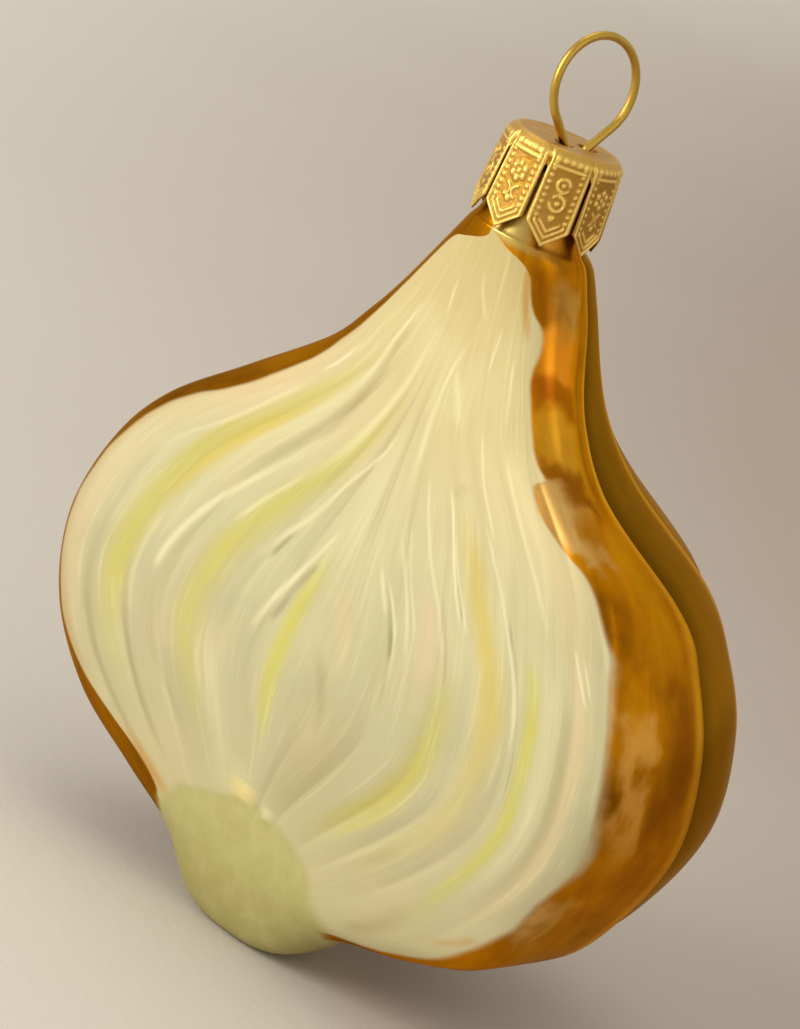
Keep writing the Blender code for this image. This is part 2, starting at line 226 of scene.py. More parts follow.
class NodeBench:
    """Builds the nodes of one material."""

    def __init__(self, name: str) -> None:
        """Start an empty material of that name."""
        self.material = bpy.data.materials.new(name)
        self.material.use_nodes = True
        self.tree = self.material.node_tree
        self.tree.nodes.clear()

    @staticmethod
    def _socket(sockets: bpy.types.bpy_prop_collection, key: int | str) -> bpy.types.NodeSocket:
        """Find a socket by its place, its identifier or its name."""
        if isinstance(key, int):
            return sockets[key]
        return next((s for s in sockets if s.identifier == key), None) or sockets[key]

    @staticmethod
    def _shape_curve(mapping: bpy.types.CurveMapping, points: list[Band]) -> None:
        """Give a curve node its points.

        Args:
            mapping: The node's curve.
            points: Its points, sorted along the curve.
        """
        curve = mapping.curves[0]
        curve.points[0].location = points[0]
        curve.points[-1].location = points[-1]
        for place in points[1:-1]:
            curve.points.new(*place)
        mapping.extend = "HORIZONTAL"
        mapping.update()

    @staticmethod
    def _shape_ramp(ramp: bpy.types.ColorRamp, stops: list[tuple[float, Colour]]) -> None:
        """Give a colour ramp its stops.

        Args:
            ramp: The node's ramp.
            stops: Its stops, sorted along the ramp.
        """
        ramp.elements[0].position, ramp.elements[1].position = stops[0][0], stops[-1][0]
        ramp.elements[0].color, ramp.elements[1].color = (*stops[0][1], 1.0), (*stops[-1][1], 1.0)
        for place, colour in stops[1:-1]:
            ramp.elements.new(place).color = (*colour, 1.0)

    def node(self, kind: str, settings: dict[str, object], inputs: dict[int | str, object],
             output: int | str = 0) -> Value:
        """Add a node, set it and join it.

        Args:
            kind: The node's type.
            settings: Its own settings; "points" shapes a curve and "stops" a colour ramp.
            inputs: A value, a number or a colour for each socket, by place, identifier or name.
            output: The socket that gives the result.

        Returns:
            The result.
        """
        made = self.tree.nodes.new(kind)
        for name, setting in settings.items():
            if name == "points":
                self._shape_curve(made.mapping, setting)
            elif name == "stops":
                self._shape_ramp(made.color_ramp, setting)
            else:
                setattr(made, name, setting)
        for key, given in inputs.items():
            socket = self._socket(made.inputs, key)
            if isinstance(given, Value):
                self.tree.links.new(given.socket, socket)
            elif isinstance(given, tuple) and socket.type == "RGBA":
                socket.default_value = (*given, 1.0)
            else:
                socket.default_value = given
        return Value(self, self._socket(made.outputs, output))

    def mark(self, mark: Mark) -> Value:
        """The number that the mesh carries under a mark."""
        return self.node("ShaderNodeAttribute", {"attribute_name": mark.value}, {}, "Fac")

    def place(self) -> Value:
        """The place on the piece, in metres."""
        return self.node("ShaderNodeTexCoord", {}, {}, "Object")

    def vector(self, x: Value | float, y: Value | float, z: Value | float) -> Value:
        """A vector from three numbers."""
        return self.node("ShaderNodeCombineXYZ", {}, {0: x, 1: y, 2: z})

    def noise(self, where: Value, scale: float, detail: float = 3.0, roughness: float = 0.5) -> Value:
        """Soft noise from 0 to 1.

        Args:
            where: The place that it depends on.
            scale: How fine it is.
            detail: Layers of finer noise in it.
            roughness: The weight of the finer layers.

        Returns:
            The noise.
        """
        return self.node("ShaderNodeTexNoise", {}, {
            "Vector": where, "Scale": scale, "Detail": detail, "Roughness": roughness}, "Fac")

    def blend(self, share: Value | float, first: Value | Colour, second: Value | Colour) -> Value:
        """Go from one colour to another.

        Args:
            share: 0 for the first colour, 1 for the second.
            first: First colour.
            second: Second colour.

        Returns:
            The colour in between.
        """
        return self.node("ShaderNodeMix", {"data_type": "RGBA"}, {
            "Factor_Float": share, "A_Color": first, "B_Color": second}, "Result_Color")

    def ramp(self, along: Value, stops: list[tuple[float, Colour]]) -> Value:
        """A colour that changes along a number from 0 to 1."""
        return self.node("ShaderNodeValToRGB", {"stops": stops}, {"Fac": along}, "Color")

    def curve(self, along: Value, points: list[Band]) -> Value:
        """A number that changes along another from 0 to 1."""
        return self.node("ShaderNodeFloatCurve", {"points": points}, {"Value": along})

    def bump(self, rise: Value, depth: float) -> Value:
        """Bend the surface's normal to a rise.

        Args:
            rise: How far each place stands up, from 0 to 1.
            depth: The depth that 1 stands for, in millimetres.

        Returns:
            The bent normal.
        """
        return self.node("ShaderNodeBump", {}, {"Strength": 1.0, "Distance": depth * MM, "Height": rise})

    def surface(self, **inputs: Value | float | Colour) -> bpy.types.Material:
        """Finish the material with one shader.

        Args:
            **inputs: Values of the shader's sockets, their names written with low lines.

        Returns:
            The finished material.
        """
        named = {name.replace("_", " "): given for name, given in inputs.items()}
        shader = self.node("ShaderNodeBsdfPrincipled", {}, named)
        output = self.tree.nodes.new("ShaderNodeOutputMaterial")
        self.tree.links.new(shader.socket, output.inputs["Surface"])
        return self.material


def mesh_piece(name: str, points: np.ndarray, quads: np.ndarray, marks: dict[Mark, np.ndarray],
               material: bpy.types.Material, slot: Slot) -> bpy.types.Object:
    """Make one smooth piece of the ornament that rides on its body.

    Args:
        name: The piece's name.
        points: Corner points in millimetres, heights measured up from the root's tip.
        quads: Four corner numbers for each face; a repeated last corner makes a triangle.
        marks: Numbers at each corner for the finish.
        material: The finish.
        slot: The slot that it takes the place of; not used.

    Returns:
        The piece.
    """
    mesh = bpy.data.meshes.new(name)
    faces = [quad[:3] if quad[2] == quad[3] else quad for quad in quads.tolist()]
    mesh.from_pydata((points * MM).tolist(), [], faces)
    for mark, numbers in marks.items():
        mesh.attributes.new(mark.value, "FLOAT", "POINT").data.foreach_set("value", numbers.astype(np.float32).ravel())
    mesh.materials.append(material)
    mesh.transform(Matrix.Translation((0.0, 0.0, -HANG_HEIGHT * MM)))
    mesh.shade_smooth()
    mesh.update()
    piece = bpy.data.objects.new(name, mesh)
    bpy.context.scene.collection.objects.link(piece)
    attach(piece, "root")
    return piece


def grid_quads(rows: int, columns: int, closed: bool, first: int = 0) -> np.ndarray:
    """Faces of a grid of points, laid row after row.

    Args:
        rows: Rows of points.
        columns: Points in a row.
        closed: Whether the last column joins the first.
        first: The number of the grid's first point.

    Returns:
        Four corner numbers for each face.
    """
    row, column = np.meshgrid(np.arange(rows - 1), np.arange(columns if closed else columns - 1), indexing="ij")
    after = (column + 1) % columns
    corners = (row * columns + column, (row + 1) * columns + column,
               (row + 1) * columns + after, row * columns + after)
    return np.stack(corners, axis=-1).reshape(-1, 4) + first


def fan_faces(ring: np.ndarray, middle: int, turned: bool) -> np.ndarray:
    """Triangles that close a ring of points on one point in its middle.

    Args:
        ring: Numbers of the ring's points, in order.
        middle: Number of the middle point.
        turned: Whether the triangles run against the ring's order.

    Returns:
        Four corner numbers for each face, the last one repeated.
    """
    after = np.roll(ring, -1)
    first, last = (after, ring) if turned else (ring, after)
    return np.stack((first, np.full(len(ring), middle), last, last), axis=-1)


@dataclass(frozen=True)
class Touch:
    """A thin touch of paint that comes in as some number passes a limit.

    Attributes:
        begins: Where it begins.
        full: Where it is at its fullest, above or below that.
        cover: How well it covers there.
        colour: Its paint.
    """

    begins: float
    full: float
    cover: float
    colour: Colour

    def lay(self, bench: NodeBench, judged: Value, under: Value | Colour) -> Value:
        """Put the touch over a colour, where the judged number asks for it."""
        return bench.blend(judged.step(self.begins, self.full) * self.cover, under, self.colour)


@dataclass(frozen=True)
class GlassPlace:
    """What the lacquer knows about a place on the glass.

    Attributes:
        bench: The material's bench.
        tall: The full height in millimetres.
        layer: Layer share; the skin runs on past 1 on the right and past -1 on the left.
        wrap: The same without its sign.
        reach: Layer share, laid between 0 and 1.
        high: Height as a share of the full height.
        where: The place on the piece.
    """

    bench: NodeBench
    tall: float
    layer: Value
    wrap: Value
    reach: Value
    high: Value
    where: Value


@dataclass(frozen=True)
class LayerLine:
    """A line that runs down the cut face along its layers.

    Attributes:
        path: Height in millimetres, layer share and strength at each bend, from the top down.
        half_width: Half its width, as a layer share.
    """

    path: Triples
    half_width: float

    def rise(self, layer: np.ndarray, height: np.ndarray) -> np.ndarray:
        """The line's strength at places on the face.

        Args:
            layer: Layer share of each place.
            height: Height of each place.

        Returns:
            A strength from 0 to 1 for each place.
        """
        heights, layers, strengths = (np.array(numbers)[::-1] for numbers in zip(*self.path))
        middle = np.interp(height, heights, layers)
        strength = np.interp(height, heights, strengths, left=0.0, right=0.0)
        return strength * smooth_step(self.half_width, 0.0, np.abs(layer - middle))


@dataclass(frozen=True)
class Wash:
    """A soft wash on the cut face, laid in broad lines: most are paint, one is painted shade and one a painted
    highlight.

    Attributes:
        mark: The mark that carries it on the mesh.
        colour: Its paint.
        cover: How well it covers.
        lines: Its lines.
    """

    mark: Mark
    colour: Colour
    cover: float
    lines: tuple[LayerLine, ...]

    def laid(self, layer: np.ndarray, height: np.ndarray) -> np.ndarray:
        """How thickly the wash lies at places on the glass, from 0 to 1."""
        return np.max([line.rise(layer, height) for line in self.lines], axis=0)


@dataclass(frozen=True)
class PaintLine(LayerLine):
    """A fine painted line along the layers.

    Attributes:
        colour: Its paint.
        raised: How far it stands up in the fine relief: above 0 a ridge, below 0 a groove.
    """

    colour: Colour = (1.0, 1.0, 1.0)
    raised: float = 0.0

    def mask(self, at: GlassPlace) -> Value:
        """The line's strength as a node value.

        Args:
            at: The place.

        Returns:
            The strength from 0 to 1.
        """
        up = sorted(self.path)
        over = (up[0][0] - LINE_END, 0.0, 0.0), (up[-1][0] + LINE_END, 0.0, 0.0)
        middle = at.bench.curve(at.high, [(height / at.tall, 0.5 + 0.25 * share) for height, share, _ in up])
        strength = at.bench.curve(
            at.high, [(height / at.tall, strength) for height, _, strength in (over[0], *up, over[1])])
        return abs(at.reach - middle).step(LINE_SPREAD * self.half_width, 0.0) * strength


def full_path(bends: list[tuple[float, ...]]) -> Triples:
    """A line's bends with their strengths; one that names none is an end, where the line fades out."""
    return tuple((*bend, 0.0)[:3] for bend in bends)


def layer_lines(*lines: tuple) -> tuple[LayerLine, ...]:
    """Lines from rows that hold the half width and then the bends."""
    return tuple(LayerLine(full_path(bends), half) for half, *bends in lines)


def paint_lines(*lines: tuple) -> tuple[PaintLine, ...]:
    """Painted lines from rows that hold the half width, the paint, the rise and then the bends."""
    return tuple(PaintLine(full_path(bends), half, colour, raised) for half, colour, raised, *bends in lines)


GOLDEN = tone(204, 196, 92)
OLIVE = tone(194, 185, 84)
LEAF = tone(205, 200, 92)
AMBER_TINT = tone(214, 192, 92)
# Pale cream: the painted highlight wash, the paler touches on raised streaks and the root's grain.
PALE = tone(238, 230, 180)
BUD = tone(224, 217, 172)
PEACH = tone(224, 198, 152)
PINK = tone(230, 202, 168)
# Grey cream for painted shade: a painted shadow among the fine lines and the darker touches on sunk streaks.
PAINTED_SHADE = tone(190, 176, 130)
SHADE = tone(164, 152, 106)
# Dark grey: painted shade in the face's grooves.
GROOVE_SHADE = tone(138, 128, 96)
# Near white: painted highlights along the face's ridges and on its raised fine streaks.
HIGHLIGHT_WHITE = tone(250, 242, 200)
TAN = tone(200, 156, 88)

WASHES = (
    Wash(Mark.BUD, BUD, .75, layer_lines(
        (.24, (57, .02), (52, -.04, .7), (47, -.05, .9), (42, -.02, .8), (38, 0, .4), (34, .02)),
        (.06, (61, -.64), (57, -.63, .7), (52, -.615, 1), (46, -.61, .7), (40, -.6, .5), (34, -.61, .4), (28, -.62)),
        (.055, (44, .85), (40, .84, .7), (34, .83, .9), (28, .83, .9), (22, .84, .8), (17, .86, .3), (13, .87)),
        (.07, (30, -.3), (24, -.31, .5), (19, -.3, .5), (15, -.28)))),
    Wash(Mark.PEACH, PEACH, .65, layer_lines(
        (.08, (62, -.9), (54, -.85, .7), (46, -.86, .6), (36, -.89, .6), (28, -.91, .8), (20, -.9, .5), (15, -.88)),
        (.05, (56, .8), (50, .86, .6), (44, .9, .4), (38, .92, .8), (32, .91, .7), (26, .905, .7), (20, .91, .6),
         (15, .9)),
        (.06, (38, -.01), (36, .03, 1), (33.5, .06, .9), (31.5, .09, .5), (29, .1)),
        (.07, (71, .66), (68, .6, .6), (66, .52, .8), (64, .44, .6), (62, .38)))),
    Wash(Mark.PINK, PINK, .6, layer_lines(
        (.075, (43, .36), (39.5, .385, 1), (36, .39, 1), (33.5, .39, .2), (30, .39)))),
    Wash(Mark.GOLDEN, GOLDEN, .8, layer_lines(
        (.088, (60, -.7), (55, -.7, .6), (50, -.7, .85), (45, -.7, 1), (40, -.7, .9), (35, -.71, .9), (30, -.715, 1),
         (25, -.72, .9), (22, -.735, .6), (19, -.75, .4), (15, -.76)),
        (.088, (58, -.3), (54, -.32, .5), (50, -.335, .7), (46, -.35, .8), (42, -.38, .9), (38, -.4, .9), (34, -.42, 1),
         (30, -.425, .8), (25, -.425, .7), (21, -.415, .5), (16, -.42)),
        (.04, (24, .495), (21, .49, .6), (18, .48, .6), (15, .47)))),
    Wash(Mark.LEAF, LEAF, .85, layer_lines(
        (.05, (40, -.11), (37, -.115, .8), (33, -.115, 1), (28, -.11, 1), (23, -.105, .8), (19, -.1)),
        (.042, (42, .77), (40, .77, .7), (36, .775, 1), (31, .77, .8), (27, .775, .9), (22, .785, .8), (18, .8, .5),
         (15, .82, .2), (12, .83)))),
    Wash(Mark.AMBER_TINT, AMBER_TINT, .75, layer_lines(
        (.08, (51, .51), (47, .55, .8), (44, .57, 1), (41, .6, 1), (38, .625, 1), (35, .64, 1), (32, .635, .7),
         (28, .625, .5), (24, .62, .4), (18, .615, .3), (14, .61)),
        (.035, (54, -.665), (50, -.668, .7), (44, -.672, .8), (38, -.675, .7), (34, -.68)))),
    Wash(Mark.OLIVE, OLIVE, .8, layer_lines(
        (.08, (37, .465), (34, .47, .5), (30, .465, .8), (26, .45, 1), (22, .44, 1), (19, .425, .8), (16, .42, .3),
         (13, .43)),
        (.03, (48, -.74), (44, -.74, .6), (40, -.74, .6), (36, -.745)))),
    # Painted shade: grey bands laid along the face's layers, in its valleys and over its lower part.
    Wash(Mark.PAINTED_SHADE, SHADE, .6, layer_lines(
        (.05, (64, -.67), (61, -.645, .6), (58, -.6, .8), (54, -.55, .9), (50, -.525, .8), (46, -.53, .4), (42, -.55)),
        (.032, (39, -.815), (36, -.82, .4), (31, -.822, .4), (27, -.815, .3), (24, -.825, .6), (21, -.835, .9),
         (17, -.83, 1), (14.5, -.81, .9), (12, -.78, .8), (10.5, -.75, .3)),
        (.03, (28, -.67), (24, -.67, .5), (21, -.672, .9), (18, -.67, 1), (15.5, -.672, .9), (13.5, -.66, .5),
         (12, -.64)),
        (.035, (28, -.575), (25, -.572, .4), (21, -.56, .5), (18.5, -.53, .5), (16, -.49, .3), (14, -.46)),
        (.04, (31.5, -.01), (29.5, .03, .6), (27, .07, .8), (25, .1, .7), (23, .14, .5), (20.5, .19)),
        (.24, (30, .12), (25, .16, .4), (21, .18, .7), (17, .18, .6), (13, .16)),
        (.16, (24, -.45), (19, -.46, .3), (13, -.46)),
        (.025, (42, .865), (38, .877, .5), (32, .88, .6), (26, .877, .5), (20, .87, .3), (15, .86)),
        (.05, (15, .8), (12, .82, .7), (9.5, .85, .8), (8, .88)),
        (.035, (21, .61), (17, .615, .6), (13, .6)))),
    # Painted highlight: pale bands laid on the upper face, towards the neck.
    Wash(Mark.PAINTED_HIGHLIGHT, PALE, .85, layer_lines(
        (.045, (65, -.42), (61, -.385, .6), (58, -.375, .9), (54, -.37, .8), (50, -.375, .6), (47, -.385, .3),
         (44, -.4)),
        (.05, (64.5, .44), (62, .32, .8), (60, .26, .9), (57, .225, 1), (54, .212, 1), (51.5, .2, .5), (48, .2)),
        (.06, (62, .38), (60.3, .43, .8), (58.8, .46, .6), (57, .48)),
        (.04, (70, -.52), (68, -.48, .9), (67, -.44, .8), (65.5, -.38)),
        (.06, (72, .3), (70, .42, .6), (68.5, .52, .6), (67, .6)))),
)

VEIL = Wash(Mark.VEIL, TAN, 1.0, layer_lines(
    (.034, (74.5, .868), (73, .868, .9), (71, .872, 1), (69.5, .882, .9), (68.3, .893, .6), (67.2, .9)),
    (.07, (12.5, -.8), (11.5, -.78, .8), (10, -.765, 1), (9, -.76, .4), (8, -.76)),
    (.018, (45, .992), (43, .992, .8), (36, .994, .9), (32, 1)),
    (.04, (62, -.93), (60, -.93, .6), (57, -.92, .4), (50, -.9, .5), (44, -.935, .5), (38, -.955, .5), (30, -.965, .4),
     (22, -.955, .5), (16, -.935, .6), (13, -.88))))

# The face's fine lines. The dark grey lines and the tan one from .42 to .465, sunk into the relief, are painted shade
# in the grooves; the short grey stroke from .56 to .45 near 52 mm is a painted shadow; the near-white lines are painted
# highlights along the ridges, most of them raised; the last tan line is paint.
PAINT_LINES = paint_lines(
    (.013, GROOVE_SHADE, -.4, (40.5, -.272), (39, -.278, .6), (37.5, -.285, .9), (36.5, -.288, .8), (35.3, -.29)),
    (.016, GROOVE_SHADE, -.4, (38.8, -.135), (37.5, -.142, .7), (36, -.152, .8), (34.3, -.163, .5), (32.5, -.17, .9),
     (31, -.178, .7), (29.5, -.185)),
    (.011, GROOVE_SHADE, -.4, (41, .19), (39.5, .205, .3), (38, .22, .5), (36.5, .235, .8), (35.3, .243, 1), (34.3, .247, .7),
     (33, .25, .3), (31, .258, .3), (29, .262)),
    (.008, GROOVE_SHADE, 0, (46, .475), (44, .49, .4), (42.5, .505, .8), (41.5, .512, .4), (40.5, .52)),
    (.03, PAINTED_SHADE, 0, (53.2, .56), (52.4, .51, .6), (51.6, .47, .6), (51, .45)),
    (.007, GROOVE_SHADE, -.3, (44, .686), (42.5, .692, .9), (41, .702, .4), (38, .716, .4), (34, .73, .3), (31, .738, .5),
     (28, .745)),
    (.011, tone(184, 152, 104), -.3, (43, .42), (40, .437, .6), (37, .457, .7), (35, .463, .3), (33, .465)),
    (.018, HIGHLIGHT_WHITE, .5, (52, -.5), (48, -.5, .4), (44, -.505, .6), (40, -.53, .9), (36, -.555, 1), (32, -.575, 1),
     (29, -.583, .8), (26.5, -.58)),
    (.014, HIGHLIGHT_WHITE, .3, (47, -.4), (44, -.41, .5), (41, -.43, .6), (38, -.45, .4), (35, -.47)),
    (.017, HIGHLIGHT_WHITE, .5, (55, -.13), (52.5, -.155, .7), (50, -.195, .9), (47, -.235, .6), (44, -.255, .5), (41, -.27, .7),
     (39, -.295, .6), (36, -.315, .3), (33, -.33)),
    (.014, HIGHLIGHT_WHITE, .5, (43, -.13), (41, -.142, .7), (38, -.165, .8), (35, -.187, 1), (32, -.205, .8), (29.5, -.22, .5),
     (27, -.23)),
    (.012, HIGHLIGHT_WHITE, 0, (54, -.77), (50, -.772, .5), (45, -.768, .5), (41, -.8, .3), (36, -.815)),
    (.018, HIGHLIGHT_WHITE, .2, (66, -.71), (63, -.7, .8), (60, -.68, .6), (57, -.645, .5), (54, -.63)),
    (.012, HIGHLIGHT_WHITE, 0, (60, -.83), (58, -.82, .6), (56, -.805, .9), (54, -.8)),
    (.014, HIGHLIGHT_WHITE, 0, (36, -.65), (31, -.655, .4), (26, -.65, .4), (20, -.64)),
    (.012, HIGHLIGHT_WHITE, .2, (68, .76), (66, .735, .8), (64, .7, .7), (62.5, .675)),
    (.011, HIGHLIGHT_WHITE, 0, (66, .85), (64, .832, .8), (62, .815, .6), (60, .8, .3), (58, .8)),
    (.01, HIGHLIGHT_WHITE, 0, (59, .66), (57, .655, .5), (54, .63, .7), (51, .63, .7), (49, .64)),
    (.012, HIGHLIGHT_WHITE, 0, (58, .79), (55, .77, .6), (51, .765, .6), (48, .785, .5), (45.5, .81, .3), (43, .83)),
    (.01, HIGHLIGHT_WHITE, .5, (53, .43), (50.5, .44, .9), (47, .455, 1), (44, .475, 1), (41.5, .495, .8), (40, .505)),
    (.007, HIGHLIGHT_WHITE, 0, (50, .455), (47, .47, .4), (44, .494, .7), (42, .514, .8), (40.7, .527, .4), (39.5, .535)),
    (.012, HIGHLIGHT_WHITE, .3, (54, .3), (50, .315, .6), (47, .34, .7), (44, .375, .6), (41, .415, .6), (38, .435, .4),
     (35.5, .45)),
    (.014, HIGHLIGHT_WHITE, .4, (42.5, .14), (41, .155, .7), (39.5, .18, .9), (38, .2, .6), (36.5, .21)),
    (.009, HIGHLIGHT_WHITE, .3, (41.5, .175), (40, .205, .7), (38, .237, .8), (36, .255, .6), (33, .265, .3), (30, .27)),
    (.012, HIGHLIGHT_WHITE, .3, (46, .205), (44, .225, .5), (41.5, .26, .6), (39, .29, .7), (36.5, .305, .5), (33, .315)),
    (.01, HIGHLIGHT_WHITE, 0, (47, .24), (44.5, .26, .5), (42, .285, .4), (40, .31, .6), (38, .33, .4), (35, .34)),
    (.009, HIGHLIGHT_WHITE, .5, (51, .6), (48, .63, .7), (45, .665, .6), (42.5, .685, .9), (40, .7, .9), (37, .712, .7),
     (34, .72, .3), (31, .725)),
    (.007, HIGHLIGHT_WHITE, .4, (45, .895), (43.5, .905, 1), (42, .916, 1), (40.5, .928, .8), (39.5, .935)),
    (.005, HIGHLIGHT_WHITE, 0, (45, .92), (43.5, .928, .8), (42, .936, .9), (40.5, .945)),
    (.009, HIGHLIGHT_WHITE, 0, (53, .94), (50, .955, .8), (47, .968, 1), (44.5, .978, .9), (40, .978, .3), (36, .98, .3),
     (32, .98)),
    (.018, TAN, 0, (15.6, .945), (14.6, .94, .9), (13.4, .925, .9), (12, .9)))

# Two raised drips at the root's edge, painted pale: paint of their own with a painted highlight on each.
ROOT_BEADS = paint_lines(
    (.15, tone(228, 210, 140), .9, (15.5, -.13), (14.9, -.14, 1), (14, -.15, 1), (13.3, -.15)),
    (.07, tone(226, 220, 174), .5, (14.7, .15), (14.2, .16, .8), (13.7, .17, .8), (13.2, .18)))

# Patches on the amber skin: darker and golden patches, and bright orange and pale streaks near the neck and along the
# face's edge that are painted highlights.
SKIN_PATCHES_AND_HIGHLIGHTS = paint_lines(
    (.07, tone(214, 168, 84), 0, (73.6, 1.06), (71.5, 1.04, .8), (68.5, 1.02, .7), (67.5, 1.02)),
    (.08, tone(255, 160, 40), 0, (70, 1), (67.5, 1, 1), (65, 1, .8), (63, .99)),
    (.08, tone(180, 96, 10), 0, (66, .97), (64.2, .965, 1), (62.2, .965, 1), (60.2, .97)),
    (.1, tone(246, 184, 50), 0, (62, 1), (60, 1, .7), (58, 1, .7), (57, 1)),
    (.07, tone(156, 94, 14), 0, (58.8, .96), (57.6, .98, 1), (56.6, 1, 1), (55.6, 1.02)),
    (.05, tone(150, 86, 4), 0, (74, .92), (72.4, .93, .8), (70.6, .95, .8), (69.4, .97)),
    (.075, tone(226, 182, 106), 0, (56.8, .93), (56, .93, 1), (54, .92, 1), (52, .95, 1), (50.6, .97)),
    (.02, tone(240, 206, 130), 0, (56.5, .955), (55, .96, .5), (53, .965, .45), (51, .975)),
    (.06, tone(214, 156, 24), 0, (57, 1.1), (52, 1.1, .6), (46, 1.11, .4), (40, 1.12)),
    (.09, tone(124, 64, 0), 0, (46, 1.14), (42, 1.14, .7), (36, 1.14, .8), (30, 1.12, .5), (26, 1.11)),
    (.03, tone(246, 186, 92), 0, (43, 1.02), (40, 1.025, .8), (34, 1.03, .9), (29, 1.035, .6), (24, 1.03)),
    (.03, tone(226, 180, 104), 0, (24, 1), (21, 1, .8), (18, .995, .8), (15, .99)),
    (.07, tone(206, 146, 24), 0, (20, 1.08), (16, 1.08, .6), (12, 1.06, .5), (9, 1.04)))


@dataclass
class GlassOnion:
    """The blown glass: a layered cut face, a lobed skin and a root plate in one closed form.

    Attributes:
        outline: Height, half width to the left, half width to the right and depth of the back at
            each station.
        row_steps: Rows of points from one station to the next.
        face_columns: Columns of points across the cut face.
        belly_height: Height of the widest place.
        face_dome: Rise of the cut face above the parting plane.
        face_dome_neck_rise: What the neck adds to that rise.
        face_dome_full_at: Height under which the face flattens.
        face_dome_tip_share: The share of the rise that is left at the root's tip.
        back_roundness: Roundness of the skin's level section.
        face_roundness: Roundness of the face's level section.
        neck_turns_round: Heights between which the section turns round.
        hollows: Lines along which the face sinks between two layers.
        hollow_depth: How far it sinks there.
        pinch_above: Height over which the layers gather above the belly.
        pinch_below: Height over which they gather below it.
        pinch_most: The strongest gathering.
        even_share: The share of a layer's place that doesn't gather.
        layers_fade: Heights between which the layers fade into the neck.
        layers_start: Heights between which they grow out of the root.
        lobe_crests: Angle of each skin lobe's crest from the face's edge, in degrees.
        lobe_drop: Angle over which a lobe drops behind its crest.
        lobe_depth: Depth of the drop on the belly.
        lobe_neck_depth: Depth of the drop on the neck.
        first_lobe_hollow: Share of the depth by which the first lobe sags before its crest.
        lobe_thins: Heights between which the drops get shallower.
        lobes_start: Heights between which the lobes grow out of the root.
        lobes_end: Heights between which they end in the neck.
        lobe_columns: Columns of points before the first crest, down a drop and up to the next crest.
        shoulder_crest_share: Share of its angle that the first crest keeps along the shoulder.
        neck_crest_share: The same on the neck.
        shoulder_crest: Heights between which the crest draws in.
        neck_crest: Heights between which it moves back out.
        line_relief: Height of the strongest ridge along a painted line.
        relief_most: The most that layers and ridges rise together.
        clearance: Share of its width that the piece keeps, to stay inside the solid.
        lip: Thickness that the mouth shows.
        neck_inside: How far down the neck's inside is drawn.
        tip_rings: Size of each ring that closes the root's tip.
        tip_hollow: Depth of the hollow in the tip.
    """

    outline: Quads = (
        (82.4, 4.8, 4.8, 4.8), (78.4, 4.9, 4.9, 4.9), (76.0, 5.4, 5.4, 5.45), (74.6, 6.2, 6.6, 7.1),
        (71.5, 7.7, 7.9, 8.7), (66.0, 10.4, 10.3, 10.9), (61.5, 13.1, 13.3, 13.3), (57.0, 16.4, 17.1, 18.4),
        (50.0, 24.6, 26.2, 28.3), (43.0, 32.7, 30.2, 35.1), (36.0, 37.2, 33.1, 39.2), (27.0, 39.1, 34.4, 41.0),
        (18.5, 36.2, 32.3, 38.2), (12.2, 29.2, 28.7, 32.3), (8.6, 20.1, 21.4, 23.2), (5.8, 12.4, 12.6, 13.9),
        (1.4, 7.2, 7.4, 8.1), (0.0, 4.0, 4.0, 4.5))
    row_steps: int = 11
    face_columns: int = 300
    belly_height: float = 27.0
    face_dome: float = 5.0
    face_dome_neck_rise: float = 0.8
    face_dome_full_at: float = 12.0
    face_dome_tip_share: float = 0.3
    back_roundness: float = 2.5
    face_roundness: float = 2.6
    neck_turns_round: Band = (66.0, 78.0)
    hollows: tuple[float, ...] = (-.835, -.685, -.53, -.30, -.19, .06, .25, .44, .56, .715, .90)
    hollow_depth: float = 0.38
    pinch_above: float = 28.0
    pinch_below: float = 12.5
    pinch_most: float = 4.0
    even_share: float = 0.25
    layers_fade: Band = (44.0, 66.0)
    layers_start: Band = (10.0, 19.0)
    lobe_crests: tuple[float, ...] = (18.0, 42.0, 66.0)
    lobe_drop: float = 2.5
    lobe_depth: float = 1.7
    lobe_neck_depth: float = 0.7
    first_lobe_hollow: float = 0.15
    lobe_thins: Band = (54.0, 66.0)
    lobes_start: Band = (4.0, 14.0)
    lobes_end: Band = (66.0, 78.0)
    lobe_columns: tuple[int, int, int] = (12, 4, 16)
    shoulder_crest_share: float = 0.36
    neck_crest_share: float = 0.85
    shoulder_crest: Band = (45.0, 57.0)
    neck_crest: Band = (61.0, 71.0)
    line_relief: float = 0.16
    relief_most: float = 0.58
    clearance: float = 0.9995
    lip: float = 0.6
    neck_inside: float = 8.0
    tip_rings: tuple[float, ...] = (0.85, 0.6, 0.3)
    tip_hollow: float = 0.35

    def section_shape(self, height: np.ndarray, half_width: np.ndarray) -> tuple[np.ndarray, ...]:
        """Depth and roundness of the level section at each height.

        Args:
            height: Heights.
            half_width: Mean half width at each.

        Returns:
            Depth of the face, roundness of the face, roundness of the back.
        """
        turned = smooth_step(*self.neck_turns_round, height)
        above = np.minimum(half_width, self.face_dome + self.face_dome_neck_rise * turned)
        under = 1.0 - np.minimum(1.0, height / self.face_dome_full_at)
        tip = self.face_dome_tip_share
        below = self.face_dome * (tip + (1.0 - tip) * np.sqrt(1.0 - under * under))
        return (np.where(height > self.belly_height, above, below),
                self.face_roundness + (2.0 - self.face_roundness) * turned,
                self.back_roundness + (2.0 - self.back_roundness) * turned)

